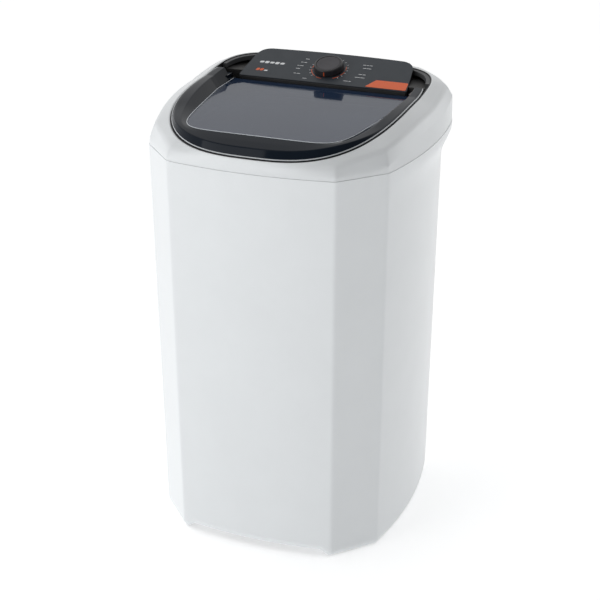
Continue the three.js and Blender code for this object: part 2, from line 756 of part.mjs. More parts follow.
const filterGroup = new THREE.Group();
machine.add(filterGroup);
function lintFilter() {
  const { y, halfWidth, topZ, backX, frontX, wall, guide, seatZ } = filter;
  const [x0, x1] = [backX + wall + GAP, frontX - wall - GAP];
  const half = halfWidth - guide - GAP;
  const frame = box(x0, x1, y - half, y + half, seatZ + GAP, topZ + 4);
  const tab = box(x0 + 3, x1 - 3, y - 16, y + 16, topZ + 3, topZ + 16);
  return cut(join(frame, tab), ...windowsAcross(x0 - 2, x1 + 2, 4, 2));
}
add('lint_filter', lintFilter(), greyPlastic, filterGroup);

// ---------------------------------------------------------------- pulsator and its drive

const driveGroup = new THREE.Group();
machine.add(driveGroup);

const shaftSegments = 16;
const { shaftRadius, bushRadius, tubeRadius, housingTop, housingBottom } = drive;
const plateTop = plate.bottomZ + plate.thick;

function bearingHousing() {
  const bore = bushRadius + 0.3;
  return turned([
    [bore, housingBottom],
    [tubeRadius, housingBottom],
    [tubeRadius, plate.bottomZ - 9],
    [48, plate.bottomZ - 8],
    [48, plate.bottomZ - GAP],
    [tubeRadius, plate.bottomZ - GAP],
    [tubeRadius, housingTop],
    [bore, housingTop],
    [bore, housingBottom],
  ], shaftSegments);
}
add('bearing_housing', bearingHousing(), castAlloy);
const bushBore = shaftRadius + 0.3;
add('lower_bush', tube(bushBore, bushRadius, housingBottom + 2, housingBottom + 24), brass);
add('upper_bush', tube(bushBore, bushRadius, housingTop - 34, housingTop - 11), brass);
add('shaft_seal', tube(bushBore, bushRadius - 0.5, housingTop - 10, housingTop - 1), rubber);

const shaftFoot = pulley.z - 12;
const shaftTop = pulsator.z + 16;
const screwHole = { radius: 3.9, depth: 22 };
add(
  'drive_shaft',
  turned([
    [0, shaftFoot],
    [shaftRadius, shaftFoot],
    [shaftRadius, shaftTop],
    [screwHole.radius, shaftTop],
    [screwHole.radius, shaftTop - screwHole.depth],
    [0, shaftTop - screwHole.depth],
  ], shaftSegments),
  steel,
  driveGroup,
);

function pulsatorDisc() {
  const { radius, z, rimHeight, hubHeight, vanes } = pulsator;
  const hubTop = z + hubHeight;
  const disc = turned([
    [bushBore, z],
    [radius, z],
    [radius, z + 4],
    [radius - 12, z + rimHeight],
    [70, z + rimHeight + 5],
    [32, hubTop - 4],
    [26, hubTop],
    [screwHole.radius + GAP, hubTop],
    [screwHole.radius + GAP, shaftTop + GAP],
    [bushBore, shaftTop + GAP],
    [bushBore, z],
  ], 28);
  const side = new THREE.Shape();
  side.moveTo(28, z + 5);
  side.lineTo(radius - 8, z + 5);
  side.quadraticCurveTo(radius - 8, z + rimHeight + 16, radius - 32, z + rimHeight + 16);
  side.lineTo(28, hubTop - 5);
  const vaneThick = 15;
  const blades = Array.from({ length: vanes }, (_, i) =>
    extruded(side, vaneThick, 4)
      .translate(0, 0, -vaneThick / 2)
      .rotateX(Math.PI / 2)
      .rotateZ((i * 2 * Math.PI) / vanes),
  );
  return join(disc, ...blades);
}
add('pulsator', pulsatorDisc(), tubPlastic, driveGroup);

const hubTop = pulsator.z + pulsator.hubHeight;
const screwProfile = [
  [0, shaftTop - screwHole.depth + 1],
  [screwHole.radius - GAP, shaftTop - screwHole.depth + 1],
  [screwHole.radius - GAP, hubTop + GAP],
  [9, hubTop + GAP],
  [8, hubTop + 5],
  [0, hubTop + 5],
];
add('pulsator_screw', turned(screwProfile, 16), steel, driveGroup);

// A grooved pulley: rim with a V, thin web and hub.
function groovedPulley(radius, bore, hubRadius, webbed) {
  const { z, height, groove } = pulley;
  const top = z + height;
  const middle = z + height / 2;
  const rimProfile = [
    [radius, z],
    [radius, z + 1.5],
    [radius - groove - 1, middle - 3],
    [radius - groove - 1, middle + 3],
    [radius, top - 1.5],
    [radius, top],
  ];
  if (!webbed) {
    const hubFoot = z - 4;
    const hub = [[bore, hubFoot], [hubRadius, hubFoot], [hubRadius, z]];
    return turned([...hub, ...rimProfile, [bore, top], [bore, hubFoot]]);
  }
  const inner = radius - groove - 5;
  const [webLow, webHigh] = [middle - 2, middle + 2];
  return turned([
    [bore, z - 5],
    [hubRadius, z - 5],
    [hubRadius, webLow],
    [inner, webLow],
    [inner, z],
    ...rimProfile,
    [inner, top],
    [inner, webHigh],
    [hubRadius, webHigh],
    [hubRadius, top + 2],
    [bore, top + 2],
    [bore, z - 5],
  ], 28);
}
add('driven_pulley', groovedPulley(pulley.drivenRadius, bushBore, 20, true), castAlloy, driveGroup);

const nutRadius = 14;
const nutCorners = Array.from({ length: 6 }, (_, i) => {
  const angle = (i * Math.PI) / 3;
  return new THREE.Vector2(nutRadius * Math.cos(angle), nutRadius * Math.sin(angle));
});
const nutShape = new THREE.Shape(nutCorners);
nutShape.holes.push(new THREE.Path().absarc(0, 0, bushBore, 0, 2 * Math.PI, true));
add('pulley_nut', extruded(nutShape, 5.6, 12).translate(0, 0, shaftFoot + 0.6), steel, driveGroup);

// Closed V-belt round both pulleys, lying in their grooves.
function beltPath(path, lift) {
  const { drivenRadius, motorRadius, centres, groove } = pulley;
  const [large, small] = [drivenRadius - groove - 1 + lift, motorRadius - groove - 1 + lift];
  const wrap = Math.acos((large - small) / centres);
  path.absarc(0, 0, large, Math.PI / 2 + wrap, Math.PI * 2.5 - wrap, false);
  path.absarc(0, centres, small, Math.PI / 2 - wrap, Math.PI / 2 + wrap, false);
  return path;
}
const beltShape = beltPath(new THREE.Shape(), 6.5);
beltShape.holes.push(beltPath(new THREE.Path(), 0.7));
const beltZ = pulley.z + pulley.height / 2 - 2.6;
add('drive_belt', extruded(beltShape, 5.2, 10).translate(0, 0, beltZ), rubber);

// ---------------------------------------------------------------- motor

const motorGroup = new THREE.Group();
motorGroup.position.y = pulley.centres;
machine.add(motorGroup);
const motorBore = motor.shaftRadius + 0.4;

function motorHousing() {
  const { radius, bottomZ, topZ } = motor;
  return turned([
    [motorBore, bottomZ],
    [radius - 12, bottomZ],
    [radius, bottomZ + 8],
    [radius, bottomZ + 20],
    [radius - 5, bottomZ + 21],
    [radius - 5, topZ - 21],
    [radius, topZ - 20],
    [radius, topZ - 5],
    [radius - 6, topZ],
    [motorBore, topZ],
    [motorBore, bottomZ],
  ], 20);
}
add('motor_housing', motorHousing(), castAlloy, motorGroup);
add('motor_shaft', rod(motor.shaftRadius, motor.shaftFoot, motor.topZ + 2), steel, motorGroup);
const rotorBore = motor.shaftRadius + 0.3;
add('motor_pulley', groovedPulley(pulley.motorRadius, rotorBore, 12, false), castAlloy, motorGroup);

function coolingFan() {
  const { radius, bladeRadius, hubRadius, bottomZ, discZ, topZ } = fan;
  const disc = tube(rotorBore, radius, discZ, topZ);
  const blades = Array.from({ length: fan.blades }, (_, i) => {
    const blade = box(hubRadius - 2, bladeRadius, -1.2, 1.2, bottomZ, discZ + 1);
    return blade.rotateZ((i * 2 * Math.PI) / fan.blades);
  });
  const hub = tube(rotorBore, hubRadius, bottomZ + 1, discZ + 1);
  return join(disc, hub, ...blades);
}
add('cooling_fan', coolingFan(), greyPlastic, motorGroup);

// Steel plate under the tub that carries the bearing housing, and the bracket that hangs the motor.
const bolt = { x: 64, y: 40, radius: 4 };
const boltSpots = [-1, 1].flatMap((sx) => [-1, 1].map((sy) => [sx * bolt.x, pulley.centres + sy * bolt.y]));
const plateScrewSpots = [[-150, -80], [150, -80], [-90, 235], [90, 235]];

function supportPlate() {
  const { bottomZ } = plate;
  const shape = new THREE.Shape();
  shape.moveTo(-165, -95);
  shape.lineTo(165, -95);
  shape.lineTo(165, -45);
  shape.lineTo(105, 40);
  shape.lineTo(105, 250);
  shape.lineTo(-105, 250);
  shape.lineTo(-105, 40);
  shape.lineTo(-165, -45);
  const sheet = extruded(shape, plate.thick).translate(0, 0, bottomZ);
  const holes = boltSpots.map(([x, y]) => rod(bolt.radius + GAP, 300, 330, 8).translate(x, y, 0));
  const screws = plateScrewSpots.map(([x, y]) => rod(3 + GAP, 300, 330, 8).translate(x, y, 0));
  return cut(sheet, rod(tubeRadius + GAP, 300, 330), ...holes, ...screws);
}
add('support_plate', supportPlate(), steel);
plateScrewSpots.forEach(([x, y], i) => {
  const top = tub.floorZ - tub.wall - GAP;
  const head = plate.bottomZ - GAP;
  const profile = [[0, head - 4], [6, head - 4], [6, head], [3, head], [3, top], [0, top]];
  add(`plate_screw_${i + 1}`, turned(profile, 8).translate(x, y, 0), steel);
});

const bracketZ = motor.topZ + GAP;
const bracketTop = bracketZ + 4;
function motorBracket() {
  const sheet = box(-78, 78, pulley.centres - 54, pulley.centres + 54, bracketZ, bracketTop);
  const holes = boltSpots.map(([x, y]) => rod(bolt.radius + GAP, 280, 310, 8).translate(x, y, 0));
  return cut(sheet, rod(16, 280, 310).translate(0, pulley.centres, 0), ...holes);
}
add('motor_bracket', motorBracket(), steel);
boltSpots.forEach(([x, y], i) => {
  const { radius } = bolt;
  const profile = [
    [0, bracketZ - 6],
    [radius, bracketZ - 6],
    [radius, bracketTop + GAP],
    [radius + 3, bracketTop + GAP],
    [radius + 3, plate.bottomZ - GAP],
    [radius, plate.bottomZ - GAP],
    [radius, plateTop + GAP],
    [radius + 3, plateTop + GAP],
    [radius + 3, plateTop + 3.6],
    [0, plateTop + 3.6],
  ];
  add(`motor_bolt_${i + 1}`, turned(profile, 8).translate(x, y, 0), steel);
});

// Run capacitor and the clamp that hangs it from the support plate.
const capacitor = { x: -134, y: 120, radius: 18, z0: 215, z1: 288 };
const clamp = { thick: 3, z0: 240, z1: 256, halfWidth: 8, footLength: 24 };

function capacitorCan() {
  const { x, y, radius, z0, z1 } = capacitor;
  const profile = [[0, z0], [radius, z0], [radius, z1 - 3], [radius - 3, z1], [0, z1]];
  return turned(profile).translate(x, y, 0);
}
add('capacitor', capacitorCan(), greyPlastic);

function capacitorClamp() {
  const { x, y, radius } = capacitor;
  const { thick, z0, z1, halfWidth, footLength } = clamp;
  const armX = x + radius + 2;
  const top = plate.bottomZ - GAP;
  const band = tube(radius + GAP, radius + thick, z0, z1).translate(x, y, 0);
  const arm = box(armX, armX + thick, y - halfWidth, y + halfWidth, z0, top);
  const foot = box(armX, armX + footLength, y - halfWidth, y + halfWidth, top - thick, top);
  return join(band, arm, foot);
}
add('capacitor_clamp', capacitorClamp(), steel);

// ---------------------------------------------------------------- water in, water out, cord inlet

function drainElbow() {
  const { radius } = drain;
  const under = tub.floorZ - tub.wall - GAP;
  return turned([
    [radius - 5, 292],
    [radius, 292],
    [radius, under - 5],
    [radius + 9, under - 5],
    [radius + 9, under],
    [radius, under],
    [radius, tub.floorZ - 1],
    [radius - 5, tub.floorZ - 1],
    [radius - 5, 292],
  ]).translate(drain.x, drain.y, 0);
}
add('drain_elbow', drainElbow(), greyPlastic);

const drainHosePath = new THREE.CatmullRomCurve3([
  new THREE.Vector3(drain.x, drain.y, 291.4),
  new THREE.Vector3(drain.x, drain.y, 220),
  new THREE.Vector3(drainSpot.x, drain.y + 22, 130),
  new THREE.Vector3(drainSpot.x, 210, drainSpot.z),
  new THREE.Vector3(drainSpot.x, 268, drainSpot.z),
]);
const hoseSection = new THREE.Shape().absarc(0, 0, 16, 0, 2 * Math.PI, false);
hoseSection.holes.push(new THREE.Path().absarc(0, 0, 13, 0, 2 * Math.PI, true));
add(
  'drain_hose',
  new THREE.ExtrudeGeometry(hoseSection, { steps: 10, curveSegments: 4, extrudePath: drainHosePath }),
  greyPlastic,
);

// Fittings that point straight out of the back; each profile runs along the fitting from inside out.
const pointingBack = (profile, { x, z }, segments = 14) =>
  turned(profile, segments).rotateX(-Math.PI / 2).translate(x, 0, z);

add(
  'drain_spout',
  pointingBack([
    [12, 269],
    [drainSpot.radius, 269],
    [drainSpot.radius, 288],
    [22, 288],
    [22, 291.5],
    [drainSpot.radius - 1, 291.5],
    [drainSpot.radius - 1, 322],
    [drainSpot.radius + 0.5, 325],
    [drainSpot.radius - 1.5, REAR_REACH],
    [12, REAR_REACH],
    [12, 269],
  ], drainSpot),
  greyPlastic,
);
add(
  'cord_gland',
  pointingBack([
    [4, 268],
    [13, 268],
    [13, 275],
    [cordSpot.radius, 275],
    [cordSpot.radius, 288],
    [13, 288],
    [13, 292],
    [8, 294],
    [6.5, 308],
    [4, 308],
    [4, 268],
  ], cordSpot),
  rubber,
);
add(
  'water_inlet',
  pointingBack([
    [9, 248],
    [inletSpot.radius, 248],
    [inletSpot.radius, 307],
    [19, 307],
    [19, 310],
    [inletSpot.radius - 1, 310],
    [inletSpot.radius - 1, 322],
    [inletSpot.radius + 0.5, 325],
    [inletSpot.radius - 1.5, REAR_REACH],
    [9, REAR_REACH],
    [9, 248],
  ], inletSpot),
  greyPlastic,
);

export default machine;
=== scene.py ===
"""Looks of the semi-automatic top-loading washer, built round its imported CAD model. Blender 4.5.

Shapes are worked out in millimetres round the pulsator's axis, as the CAD is, and turned into metres in
the part's own frame when a mesh is made. The front of the machine faces -Y.
"""

import json
import math
from types import SimpleNamespace as Sizes

import bmesh
import bpy
import numpy as np
from mathutils import Matrix, Vector


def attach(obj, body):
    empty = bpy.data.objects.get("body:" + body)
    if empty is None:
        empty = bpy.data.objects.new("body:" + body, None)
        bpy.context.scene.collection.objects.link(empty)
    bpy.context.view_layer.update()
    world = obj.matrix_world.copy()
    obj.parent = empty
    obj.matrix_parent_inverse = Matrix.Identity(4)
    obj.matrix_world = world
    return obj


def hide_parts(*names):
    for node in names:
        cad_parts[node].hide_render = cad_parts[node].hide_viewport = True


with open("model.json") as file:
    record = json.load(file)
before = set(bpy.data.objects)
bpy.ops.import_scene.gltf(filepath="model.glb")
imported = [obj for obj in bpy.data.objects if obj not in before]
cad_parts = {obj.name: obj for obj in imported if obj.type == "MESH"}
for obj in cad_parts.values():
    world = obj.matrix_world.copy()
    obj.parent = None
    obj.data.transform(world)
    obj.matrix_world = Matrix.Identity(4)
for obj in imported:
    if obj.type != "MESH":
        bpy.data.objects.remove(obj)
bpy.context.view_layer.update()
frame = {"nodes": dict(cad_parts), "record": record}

# ------------------------------------------------------------------ sizes, millimetres

MM = 0.001
FRONT_REACH, REAR_REACH = 304.5, 330
BODY_SHIFT_Y = (FRONT_REACH - REAR_REACH) / 2
GAP = 0.4

cabinet = Sizes(
    front_half=186, front_y=-285.5, front_bulge=19,
    side_x=269, side_y=198, side_bulge=22.4,
    rear_y=285.5, rear_bulge=19,
    wall=3.2, draft=3.93e-5,
    foot_z=5, toe_height=10, toe_inset=6,
    arch_z=17.5, arch_half=156, arch_slope=18,
    flare_start_z=828, flare_knee_z=852, flare_full_z=874, rim_z=895,
)
rim = Sizes(rear_side_x=291, rear_half=202, rear_y=297, rear_bulge=17, side_bulge=22)
cover = Sizes(
    wall=3, skirt_inset=1.1, seam=0.15, crease_inset=2.2, crease_bulge=13, shoulder_share=0.3,
    lip_width=3, lip_drop=7,
)
bezel = Sizes(wall=1.8, shelf_drop=12.6, shelf_width=6, shelf_thick=3, foot_z=890)

CENTRE_Y = 38
opening = Sizes(half=254.5, front=338, rear=212, front_power=2.9, rear_power=4.8, taper=0)
lid_edge = Sizes(half=248.5, front=332, rear=160, front_power=2.9, rear_power=3.6, taper=0)
window_edge = Sizes(half=211, front=281, rear=130, front_power=8, rear_power=20, taper=0.12)
lid = Sizes(
    plateau_z=957, shelf_share=0.55, front_rise=15, wall_lean=5, wall=2.6, ledge=6, rear_y=131, band_rear_y=113,
    bead=1.3,
)
hinge = Sizes(
    y=128, z=963, pin=3.5, eye=7, lug_x=220, lug_width=12, notch_x=203.5, bracket_x=233, bracket_room=4.5,
)

panel = Sizes(
    bottom_y=135, bottom_z=966, tilt=math.radians(19), half=200,
    shoulder_half=190.5, shoulder_up=78, corner_half=158, corner_up=115, crown_up=119, thick=2.4,
)
console = Sizes(floor_z=935, floor_thick=3, wall=3, front_y=124)
knob = Sizes(up=56, top=31.5, base=35, height=16, socket=12, shaft=3)

tub = Sizes(wall=3, top_half=250, top_front=303, top_rear=222, power=4.2, mouth_rear=181)

# ------------------------------------------------------------------ small geometry tools


def smoothstep(value, low, high):
    t = np.clip((np.asarray(value, float) - low) / (high - low), 0, 1)
    return t * t * (3 - 2 * t)


def towards(here, there, reach):
    """The points of one ring moved towards the matching points of another, by at most 0.46 of the way."""
    step = there - here
    length = np.maximum(np.linalg.norm(step, axis=1), 1e-9)
    return here + step * np.minimum(reach / length, 0.46)[:, None]


def softened(rings, radii, closed=True):
    """Rings of matching points with each ring's own edge rounded off; a radius may vary round the ring."""
    count = len(rings)
    result = []
    for i, here in enumerate(rings):
        radius = np.broadcast_to(np.asarray(radii[i], float), len(here))
        if radius.max() <= 0 or (not closed and i in (0, count - 1)):
            result.append(here)
            continue
        start = towards(here, rings[i - 1], radius)
        end = towards(here, rings[(i + 1) % count], radius)
        steps = 2 if radius.max() < 1 else 4 if radius.max() < 6 else 7
        for t in np.linspace(0, 1, steps + 1):
            result.append(start * (1 - t) ** 2 + here * 2 * t * (1 - t) + end * t**2)
    return result


def loft(rings, closed):
    """Vertices and faces of side walls joining matching rings; an open loft is capped at both ends."""
    count = len(rings[0])
    spans = len(rings) if closed else len(rings) - 1
    faces = []
    for r in range(spans):
        low, high = r * count, (r + 1) % len(rings) * count
        for i in range(count):
            j = (i + 1) % count
            faces.append((low + i, low + j, high + j, high + i))
    if not closed:
        top = (len(rings) - 1) * count
        faces.append(tuple(range(count - 1, -1, -1)))
        faces.append(tuple(range(top, top + count)))
    return np.concatenate(rings), faces


def joined(*solids):
    """Several (vertices, faces) pairs as one."""
    points, faces, offset = [], [], 0
    for vertices, polygons in solids:
        points.append(np.asarray(vertices, float))
        faces += [tuple(v + offset for v in face) for face in polygons]
        offset += len(vertices)
    return np.concatenate(points), faces


def revolved(profile, radii=None, segments=96):
    """A piece turned round the Z axis; the profile is (radius, height) points from the bottom up."""
    radii = radii or [0] * len(profile)
    line = [np.array([[r, 0.0, z]]) for r, z in profile]
    closed = profile[0] == profile[-1]
    if closed:
        line, radii = line[:-1], radii[: len(line) - 1]
    line = [point[0] for point in softened(line, radii, closed)]
    angles = np.arange(segments) * 2 * math.pi / segments
    rings = [np.stack([p[0] * np.cos(angles), p[0] * np.sin(angles), np.full(segments, p[2])], 1) for p in line]
    vertices, faces = loft(rings, closed)
    if not closed:
        faces = faces[:-2]
    return vertices, faces


def offset_outline(points, inset):
    """A flat outline, anticlockwise, drawn in by inset along the bisector at each point."""
    before, after = np.roll(points, 1, 0), np.roll(points, -1, 0)
    first, second = points - before, after - points
    first /= np.linalg.norm(first, axis=1, keepdims=True)
    second /= np.linalg.norm(second, axis=1, keepdims=True)
    normal = np.stack([-(first + second)[:, 1], (first + second)[:, 0]], 1)
    normal /= np.linalg.norm(normal, axis=1, keepdims=True)
    lean = np.maximum((normal * np.stack([-first[:, 1], first[:, 0]], 1)).sum(1), 0.4)
    return points + normal * (inset / lean)[:, None]


def flat_ring(points, z):
    return np.column_stack([points, np.full(len(points), float(z))])


def prism(points, low, high, bevel=0.0, steps=3):
    """An upright prism on a flat outline, its edges rounded by bevel at the top and the bottom."""
    if not bevel:
        return loft([flat_ring(points, low), flat_ring(points, high)], False)
    turns = [math.pi / 2 * i / steps for i in range(steps + 1)]
    lower = [(bevel * (1 - math.sin(a)), low + bevel * (1 - math.cos(a))) for a in turns]
    upper = [(inset, high + low - z) for inset, z in reversed(lower)]
    return loft([flat_ring(offset_outline(points, inset), z) for inset, z in lower + upper], False)


def rounded_corners(corners, radius):
    """A flat outline with every corner rounded off."""
    rings = [np.array([[x, y, 0.0]]) for x, y in corners]
    return np.array([point[0, :2] for point in softened(rings, [radius] * len(rings))])


def brick(x0, x1, y0, y1, z0, z1, bevel=0.0):
    corners = np.array([[x0, y0], [x1, y0], [x1, y1], [x0, y1]], float)
    return prism(corners, z0, z1, bevel)


def moved(solid, matrix):
    vertices, faces = solid
    return np.asarray(vertices) @ np.array(matrix.to_3x3()).T + np.array(matrix.translation), faces


def shifted(solid, x=0.0, y=0.0, z=0.0):
    return np.asarray(solid[0]) + np.array([x, y, z]), solid[1]


def along_y(solid):
    """A piece turned round Z laid over so that its axis points out of the back of the machine."""
    return moved(solid, Matrix.Rotation(-math.pi / 2, 4, "X"))


# ------------------------------------------------------------------ making pieces


def make_mesh(name, solid):
    vertices, faces = solid
    mesh = bpy.data.meshes.new(name)
    placed = (np.asarray(vertices, float) + np.array([0, BODY_SHIFT_Y, 0])) * MM
    mesh.from_pydata(placed.tolist(), [], faces)
    shape = bmesh.new()
    shape.from_mesh(mesh)
    bmesh.ops.remove_doubles(shape, verts=shape.verts, dist=2e-6)
    bmesh.ops.recalc_face_normals(shape, faces=shape.faces)
    shape.to_mesh(mesh)
    shape.free()
    return mesh


def shade(mesh, angle=50):
    mesh.shade_smooth()
    mesh.set_sharp_from_angle(angle=math.radians(angle))


def piece(name, solid, material, body="root", replaces=(), cutters=(), angle=50):
    """A finished mesh object that rides on a CAD body and may stand for CAD nodes."""
    thing = bpy.data.objects.new(name, make_mesh(name, solid))
    bpy.context.scene.collection.objects.link(thing)
    if cutters:
        cut_away(thing, cutters)
    shade(thing.data, angle)
    even = thing.modifiers.new("even shading", "WEIGHTED_NORMAL")
    even.keep_sharp = True
    thing.data.materials.append(material)
    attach(thing, body)
    if replaces:
        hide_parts(*replaces)
    return thing


def cut_away(thing, cutters):
    """Cuts solids out of a piece and keeps the result as its mesh."""
    tools = []
    for i, solid in enumerate(cutters):
        tool = bpy.data.objects.new(f"cutter_{i}", make_mesh("cutter", solid))
        bpy.context.scene.collection.objects.link(tool)
        cut = thing.modifiers.new(f"cut {i}", "BOOLEAN")
        cut.operation = "DIFFERENCE"
        cut.solver = "MANIFOLD"
        cut.object = tool
        tools.append(tool)
    result = bpy.data.meshes.new_from_object(thing.evaluated_get(bpy.context.evaluated_depsgraph_get()))
    thing.modifiers.clear()
    result.materials.clear()
    thing.data = result
    for tool in tools:
        bpy.data.objects.remove(tool)


# ------------------------------------------------------------------ materials


class Nodes:
    """Short forms for building one material's node tree."""

    def __init__(self, name):
        self.material = bpy.data.materials.new(name)
        self.material.use_nodes = True
        self.tree = self.material.node_tree
        self.shader = self.tree.nodes["Principled BSDF"]
        self.coordinates = self.add("ShaderNodeTexCoord").outputs["Object"]

    def add(self, kind, **settings):
        node = self.tree.nodes.new(kind)
        for key, value in settings.items():
            setattr(node, key, value)
        return node

    def link(self, source, target):
        self.tree.links.new(source, target)

    def noise(self, scale, detail=3.0, roughness=0.5, stretch=None):
        node = self.add("ShaderNodeTexNoise")
        node.inputs["Scale"].default_value = scale
        node.inputs["Detail"].default_value = detail
        node.inputs["Roughness"].default_value = roughness
        source = self.coordinates
        if stretch:
            mapping = self.add("ShaderNodeMapping")
            mapping.inputs["Scale"].default_value = stretch
            self.link(source, mapping.inputs["Vector"])
            source = mapping.outputs["Vector"]
        self.link(source, node.inputs["Vector"])
        return node.outputs["Fac"]

    def ramp(self, factor, *stops):
        """A colour ramp from (position, colour) stops."""
        node = self.add("ShaderNodeValToRGB")
        points = node.color_ramp.elements
        while len(points) < len(stops):
            points.new(0.5)
        for point, (position, color) in zip(points, stops):
            point.position = position
            point.color = (*color, 1)
        self.link(factor, node.inputs["Fac"])
        return node.outputs["Color"]

    def spread(self, factor, low, high, start=0.3, end=0.7):
        node = self.add("ShaderNodeMapRange")
        for key, value in (("From Min", start), ("From Max", end), ("To Min", low), ("To Max", high)):
            node.inputs[key].default_value = value
        self.link(factor, node.inputs["Value"])
        return node.outputs["Result"]

    def bump(self, height, depth_mm, strength=1.0, below=None):
        node = self.add("ShaderNodeBump")
        node.inputs["Strength"].default_value = strength
        node.inputs["Distance"].default_value = depth_mm * MM
        self.link(height, node.inputs["Height"])
        if below:
            self.link(below, node.inputs["Normal"])
        return node.outputs["Normal"]

    def set(self, **values):
        names = {
            "color": "Base Color", "rough": "Roughness", "metal": "Metallic", "ior": "IOR",
            "alpha": "Alpha", "normal": "Normal", "coat": "Coat Weight", "coat_rough": "Coat Roughness",
            "specular": "Specular IOR Level",
        }
        for key, value in values.items():
            socket = self.shader.inputs[names[key]]
            if isinstance(value, bpy.types.NodeSocket):
                self.link(value, socket)
            elif key == "color":
                socket.default_value = (*value, 1)
            else:
                socket.default_value = value
        return self.material


def shades(color, spread):
    """A darker and a lighter shade of a colour."""
    return [tuple(min(1.0, c * (1 + side * spread)) for c in color) for side in (-1, 1)]


def moulded(
    name, color, rough, mottle=0.03, peel_mm=0.004, peel_scale=140.0, grain_mm=0.0, even=False, **values
):
    """Moulded plastic: faint flow mottling, orange peel and, where given, a spark-eroded grain."""
    nodes = Nodes(name)
    dark, light = shades(color, mottle)
    cloud = nodes.noise(9.0, 4.0, 0.6)
    tint = nodes.ramp(cloud, (0.3, dark), (0.7, light))
    gloss = rough if even else nodes.spread(nodes.noise(35.0, 5.0, 0.65), rough * 0.88, rough * 1.14)
    normal = nodes.bump(nodes.noise(peel_scale, 2.0), peel_mm)
    if grain_mm:
        normal = nodes.bump(nodes.noise(2200.0, 3.0, 0.7), grain_mm, below=normal)
    return nodes.set(color=tint, rough=gloss, normal=normal, **values)


def machined(name, color, rough, stretch, depth_mm=0.012, **values):
    """Drawn or turned metal with fine scratches along one direction."""
    nodes = Nodes(name)
    dark, light = shades(color, 0.1)
    scratches = nodes.noise(900.0, 5.0, 0.7, stretch)
    tint = nodes.ramp(nodes.noise(60.0, 5.0, 0.7), (0.3, dark), (0.75, light))
    gloss = nodes.spread(scratches, rough * 0.75, rough * 1.3)
    normal = nodes.bump(scratches, depth_mm)
    return nodes.set(color=tint, rough=gloss, normal=normal, metal=1.0, **values)


def cast_metal(name, color, rough):
    """Die-cast alloy: a fine pebbled skin, a little duller in the hollows."""
    nodes = Nodes(name)
    pebbles = nodes.noise(420.0, 6.0, 0.75)
    dark, light = shades(color, 0.16)
    tint = nodes.ramp(pebbles, (0.35, dark), (0.65, light))
    gloss = nodes.spread(pebbles, rough * 1.15, rough * 0.85)
    return nodes.set(color=tint, rough=gloss, normal=nodes.bump(pebbles, 0.08), metal=1.0)


def rubber(name, color, rough):
    nodes = Nodes(name)
    dark, light = shades(color, 0.25)
    bloom = nodes.noise(45.0, 6.0, 0.7)
    tint = nodes.ramp(bloom, (0.35, dark), (0.8, light))
    gloss = nodes.spread(bloom, rough * 0.9, rough * 1.1)
    return nodes.set(color=tint, rough=gloss, normal=nodes.bump(nodes.noise(1500.0, 4.0), 0.03))


def printed(name, color, rough):
    """Screen-printed ink: slight unevenness of the ink film."""
    nodes = Nodes(name)
    dark, light = shades(color, 0.06)
    film = nodes.noise(700.0, 3.0)
    tint = nodes.ramp(film, (0.35, dark), (0.65, light))
    gloss = nodes.spread(film, rough * 0.9, rough * 1.1)
    return nodes.set(color=tint, rough=gloss, normal=nodes.bump(film, 0.01))


def smoked_pane():
    """Translucent smoked acrylic with a faint haze that varies at random across it."""
    nodes = Nodes("smoked_pane")
    haze = nodes.noise(6.0, 3.0, 0.5)
    tint = nodes.ramp(haze, (0.3, (0.017, 0.034, 0.076)), (0.7, (0.023, 0.044, 0.092)))
    gloss = nodes.spread(nodes.noise(18.0, 4.0, 0.6), 0.03, 0.06)
    normal = nodes.bump(nodes.noise(14.0, 1.0), 0.02)
    return nodes.set(color=tint, rough=gloss, normal=normal, ior=1.44, alpha=0.77)


white_shell = moulded(
    "white_shell", (0.80, 0.825, 0.84), 0.3, mottle=0.012, even=True, coat=0.15, coat_rough=0.12,
)
tub_plastic = moulded("tub_plastic", (0.74, 0.76, 0.775), 0.36, mottle=0.02, peel_mm=0.02, even=True)
grained_black = moulded("grained_black", (0.020, 0.020, 0.022), 0.45, mottle=0.15, grain_mm=0.05, specular=0.35)
knob_black = moulded("knob_black", (0.022, 0.021, 0.024), 0.36, mottle=0.12, grain_mm=0.02)
knob_face = moulded("knob_face", (0.036, 0.033, 0.041), 0.42, mottle=0.1, grain_mm=0.03)
lid_black = moulded("lid_black", (0.006, 0.010, 0.017), 0.09, mottle=0.1, even=True, ior=1.4, specular=0.18)
# pale grey for the strip round the lid's foot: a painted highlight standing for light caught along the lid's
# lower edge
painted_highlight_grey = moulded("painted_highlight_grey", (0.56, 0.58, 0.60), 0.3, mottle=0.04, peel_mm=0.004)
# pale blue-grey for the strip round the pane: a painted highlight standing for light caught along the pane's
# edge
painted_highlight_pale = moulded("painted_highlight_pale", (0.68, 0.72, 0.77), 0.25, mottle=0.04, peel_mm=0.004)
recess_black = moulded("recess_black", (0.024, 0.0235, 0.023), 0.55, mottle=0.2, grain_mm=0.08)
flange_grey = moulded("flange_grey", (0.075, 0.078, 0.082), 0.5, mottle=0.1, grain_mm=0.03)
pane_glass = smoked_pane()
panel_film = moulded("panel_film", (0.038, 0.046, 0.056), 0.42, mottle=0.05, grain_mm=0.015, specular=0.3)
orange_ink = printed("orange_ink", (0.86, 0.135, 0.028), 0.4)
white_ink = printed("white_ink", (0.84, 0.86, 0.88), 0.45)
grey_plastic = moulded("grey_plastic", (0.38, 0.40, 0.42), 0.45, mottle=0.06, grain_mm=0.02)
steel_bar = machined("steel_bar", (0.56, 0.57, 0.58), 0.3, (1, 1, 0.05))
steel_sheet = machined("steel_sheet", (0.52, 0.54, 0.56), 0.38, (0.05, 1, 1))
steel_black = machined("steel_black", (0.05, 0.05, 0.052), 0.4, (0.05, 1, 1))
alloy = cast_metal("cast_alloy", (0.48, 0.49, 0.5), 0.5)
bronze = machined("sintered_bronze", (0.52, 0.36, 0.17), 0.45, (1, 1, 1), depth_mm=0.03)
